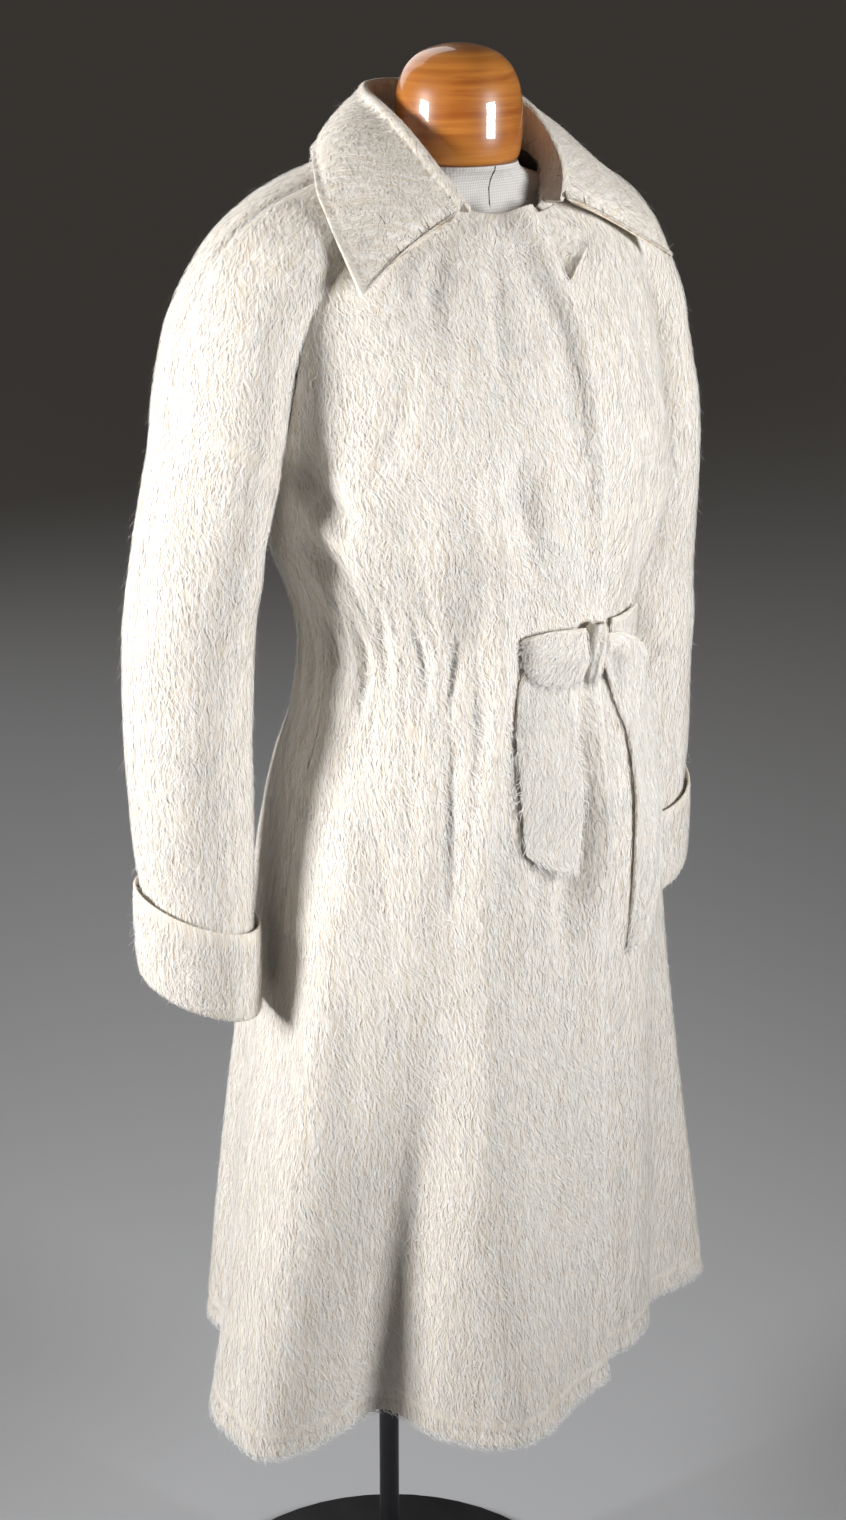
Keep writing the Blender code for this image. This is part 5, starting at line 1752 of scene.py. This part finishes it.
    def knot(self) -> ClothPiece:
        """Cut the knot.

        Returns:
            A narrow wrap of cloth that closes on itself.
        """
        wide, deep, high = self.knot_size
        girth, growth = self.knot_swell
        y = panel_y(PANELS["right_front"], self.knot_x - 0.006, self.knot_z) - self.knot_off
        centre = np.array((self.knot_x - 0.0025, y, self.knot_z))
        rows = []
        for t in np.linspace(-0.97, 1.0, 41):
            size = math.sqrt(1 - (t * self.knot_tuck) ** 4) * (girth + growth * t)
            row = []
            for a in np.linspace(0, math.tau, 49):
                left = 1.0
                for depth, angle, slant, half_width in self.knot_grooves:
                    left -= depth * bump(around(math.degrees(a), angle + slant * t), half_width)
                across = wide * size * left * math.cos(a) + self.knot_lean * t
                row.append(centre + (across, deep * size * left * math.sin(a), high * t))
            rows.append(row)
        return ClothPiece("belt_knot", np.array(rows), Hang.FOLDED, wall=THIN_WALL,
                          rests_on=("belt_right_band",))

    def build(self) -> None:
        """Make every piece of the belt with a short nap."""
        cuts = (self.right_band, self.left_band, self.hanging_short, self.hanging_long, self.knot)
        for seed, cut in enumerate(cuts):
            piece = cut()
            brushed = (-0.7, 0.0, -1.0) if piece.held is Hang.LAID else (0.0, 0.0, -1.0)
            self.fabric.sew(piece, density=330000, length=0.012, width=0.00044, lift=0.0008,
                            seed=51 + seed, wander=0.2, spread=0.45, strays=0.15, brushed=brushed,
                            hem_reach=0.7, edge_reach=0.8)


@dataclass
class TurnedCorner:
    """The left front's upper corner, turned out over the panel."""

    fabric: Fabric
    stand_off: float = 0.0006
    rise: float = 0.0110         # of its free edge above the panel
    fold_gap: float = 0.0012     # between its fold and the right front's edge
    rows: Table = Table("height outer_x", (
        (1.350, 0.033), (1.360, 0.044), (1.372, 0.060), (1.378, 0.062), (1.386, 0.056),
        (1.396, 0.046), (1.404, 0.037),
    ))

    def build(self) -> None:
        """Make the corner with its nap."""
        rows = []
        for row in resampled(self.rows, 22):
            fold_x = EDGES.at(row["height"])["overlap"] + self.fold_gap
            rows.append([moved_out(PANELS["left_front"], fold_x + (row["outer_x"] - fold_x) * t,
                                   row["height"], self.stand_off + self.rise * t * t)
                         for t in np.linspace(0, 1, 14)])
        piece = laid("left_front_turned_corner", rows, Hang.FOLDED, "left_front")
        self.fabric.sew(piece, density=240000, length=0.008, flow=0.6, seed=71, wander=0.3,
                        spread=0.5, width=0.0005, hem_reach=0.1, edge_reach=0.1)


@dataclass
class DressForm:
    """The neck cap, the linen torso's seam, and the stand."""

    linen: Material
    wood: Material
    metal: Material
    cap_foot: float = 1.4428
    cap_top: float = 0.0884      # height of the cap's top ring over its foot
    stretch: float = 1.045
    thread: float = 0.0005       # half width of the seam's thread
    neck_front: Table = Table("height y", (
        (1.395, -0.062), (1.412, -0.054), (1.424, -0.053), (1.431, -0.055), (1.436, -0.058),
        (1.439, -0.0605), (1.4422, -0.061),
    ))
    cap: Table = Table("height radius", (
        (0.000, 0.046), (0.002, 0.0485), (0.008, 0.0505), (0.022, 0.0520), (0.040, 0.0520),
        (0.055, 0.0500), (0.068, 0.0450), (0.078, 0.0365), (0.084, 0.0260), (0.0875, 0.0130),
    ))

    def build(self) -> None:
        """Dress the nodes that stay and turn the cap anew with finer steps."""
        for name, material in (("form_torso", self.linen), ("pole", self.metal), ("base", self.metal)):
            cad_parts[name].data.materials.clear()
            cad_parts[name].data.materials.append(material)
        self.turn_cap()
        self.sew_neck()

    def sew_neck(self) -> None:
        """Lay the dark centre front seam of the linen down the neck."""
        front = resampled(self.neck_front, 13)
        made = [(x * self.thread, row["y"] - 0.0002 - out * self.thread, row["height"])
                for row in front for x, out in ((-1, 0), (0, 1), (1, 0), (0, -1))]
        faces = [(0, 1, 2, 3), tuple(range(len(made) - 1, len(made) - 5, -1))]
        for r in range(0, len(made) - 4, 4):
            for c in range(4):
                d = (c + 1) % 4
                faces.append((r + c, r + d, r + 4 + d, r + 4 + c))
        item = mesh_object("neck_seam", np.array(made), faces, np.zeros((len(made), 2)), self.metal)
        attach(item, "root")

    def turn_cap(self) -> None:
        """Spin the cap's profile about its axis."""
        bpy.ops.object.select_all(action="DESELECT")
        top = self.stretch * self.cap_top
        profile = [(row["radius"], row["height"] * self.stretch) for row in resampled(self.cap, 34)]
        profile = [(0.0, 0.0)] + profile + [(0.0072, top), (0.0, top + 0.0003)]
        mesh = bpy.data.meshes.new("neck_cap_turned")
        points = [(radius, CAP_Y, self.cap_foot + z) for radius, z in profile]
        mesh.from_pydata(points, [(i, i + 1) for i in range(len(points) - 1)], [])
        item = placed("neck_cap_turned", mesh)
        bpy.context.view_layer.objects.active = item
        item.select_set(True)
        bpy.ops.object.mode_set(mode="EDIT")
        bpy.ops.mesh.select_all(action="SELECT")
        bpy.ops.mesh.spin(steps=72, angle=math.tau, center=(0.0, CAP_Y, 0.0), axis=(0, 0, 1))
        bpy.ops.mesh.select_all(action="SELECT")
        bpy.ops.mesh.remove_doubles(threshold=0.00005)
        bpy.ops.mesh.normals_make_consistent(inside=False)
        bpy.ops.object.mode_set(mode="OBJECT")
        mesh.transform(Matrix.Translation(BODY_SHIFT))
        bpy.ops.object.shade_smooth_by_angle(angle=math.radians(50))
        mesh.materials.append(self.wood)
        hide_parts("neck_cap")
        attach(item, "root")
        LOG.info("neck cap")


def heading(turn: float, rise: float) -> Vector:
    """Find a way back from the coat.

    Args:
        turn: degrees to the wearer's right.
        rise: degrees up.

    Returns:
        Its unit vector.
    """
    turn, rise = math.radians(turn), math.radians(rise)
    return Vector((-math.sin(turn) * math.cos(rise), -math.cos(turn) * math.cos(rise),
                   math.sin(rise)))


@dataclass
class Studio:
    """Camera, floor and lights."""

    focal_pixels: float = 2800.0
    picture_height: int = 1520
    sensor: float = 36.0
    turn: float = 38.3
    dip: float = 19.2
    distance: float = 2.318
    height: float = 1.73
    sideways: float = -0.02
    floor_half: float = 70.0
    floor_colour: Colour = (0.58, 0.59, 0.61)
    world_colour: Colour = (1.0, 0.89, 0.76)
    world_strength: float = 0.06
    lit: Triple = (0.0, -0.07, 1.18)  # where every light looks

    def camera(self) -> None:
        """Place the camera at the photograph's viewpoint."""
        data = bpy.data.cameras.new("camera")
        data.sensor_fit = "VERTICAL"
        data.sensor_height = self.sensor
        data.lens = self.focal_pixels / self.picture_height * self.sensor
        item = placed("camera", data)
        right = -heading(self.turn + 90, 0) * self.sideways
        foot = heading(self.turn, 0) * self.distance + Vector((0, 0, self.height))
        item.location = foot + right + Vector(BODY_SHIFT)
        item.rotation_euler = heading(self.turn, self.dip).to_track_quat("Z", "Y").to_euler()
        bpy.context.scene.camera = item

    def floor(self) -> None:
        """Lay a pale plain floor that ends far away."""
        mesh = bpy.data.meshes.new("floor")
        half = self.floor_half
        mesh.from_pydata([(-half, -half, 0), (half, -half, 0), (half, half, 0), (-half, half, 0)],
                         [], [(0, 1, 2, 3)])
        mesh.materials.append(Finish("floor", self.floor_colour).build())
        placed("floor", mesh)

    def light(self, name: str, turn: float, rise: float, away: float, size: float, power: float,
              colour: Colour, spread: float = 180.0) -> None:
        """Hang one square light that looks at the coat's chest.

        Args:
            name: its name.
            turn: degrees round from the camera, positive to the camera's left.
            rise: degrees above the coat's middle.
            away: distance in metres.
            size: side in metres.
            power: watts.
            colour: its colour.
            spread: degrees that its light fans out.
        """
        data = bpy.data.lights.new(name, "AREA")
        data.energy, data.size, data.color = power, size, colour
        data.spread = math.radians(spread)
        item = placed(name, data)
        way = heading(self.turn + turn, rise)
        item.location = Vector(self.lit) + way * away
        item.rotation_euler = way.to_track_quat("Z", "Y").to_euler()

    def build(self) -> None:
        """Set the whole studio."""
        self.camera()
        self.floor()
        world = bpy.data.worlds.new("studio")
        world.use_nodes = True
        NodeKit(world.node_tree).feed(world.node_tree.nodes["Background"], {
            "Color": (*self.world_colour, 1.0), "Strength": self.world_strength})
        bpy.context.scene.world = world
        bpy.context.scene.view_settings.view_transform = "Standard"
        self.light("key", 64, 8, 2.3, 0.7, 20.5, (1.0, 0.995, 0.99), 90)
        self.light("right", -59, 7, 2.3, 0.7, 12.0, (0.98, 0.99, 1.0), 80)
        self.light("behind", 150, 30, 3.4, 2.6, 26.0, (1.0, 0.995, 0.99))
        LOG.info("studio")


def main() -> None:
    """Build the coat, its form and the studio."""
    logging.basicConfig(level=logging.INFO, format="%(name)s: %(message)s")
    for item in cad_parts.values():
        item.select_set(False)
    group = BrushedNap().build()
    # The grounds' deep colours are darker and warmer than the wool partly as painted shade between the
    # fibres; the nap's group mottles them with the light colour.
    ground = WoolFinish("wool_ground", (0.66, 0.55, 0.41), group=group).build()
    belt = WoolFinish("belt_ground", (0.68, 0.58, 0.45), group=group, across=2400.0,
                      along=260.0).build()
    strands = StrandFinish("wool_strands", (0.86, 0.825, 0.76)).build()
    # The pressed strands of the collar and the turned corner are darker partly as painted shade on them;
    # their shorter, pressed nap is real.
    pressed = StrandFinish("pressed_strands", (0.70, 0.645, 0.57), light=(0.91, 0.89, 0.86)).build()
    Studio().build()
    wool, pressed_shaded_wool = Fabric("wool", ground, strands), Fabric("wool", ground, pressed)
    CoatBody(wool).build()
    Collar(pressed_shaded_wool).build()
    for side in Side:
        Cuff(wool, side).build()
    Belt(Fabric("belt_wool", belt, strands)).build()
    TurnedCorner(pressed_shaded_wool).build()
    DressForm(*(finish().build() for finish in (LinenFinish, WoodFinish, MetalFinish))).build()


if __name__ == "__main__":
    main()
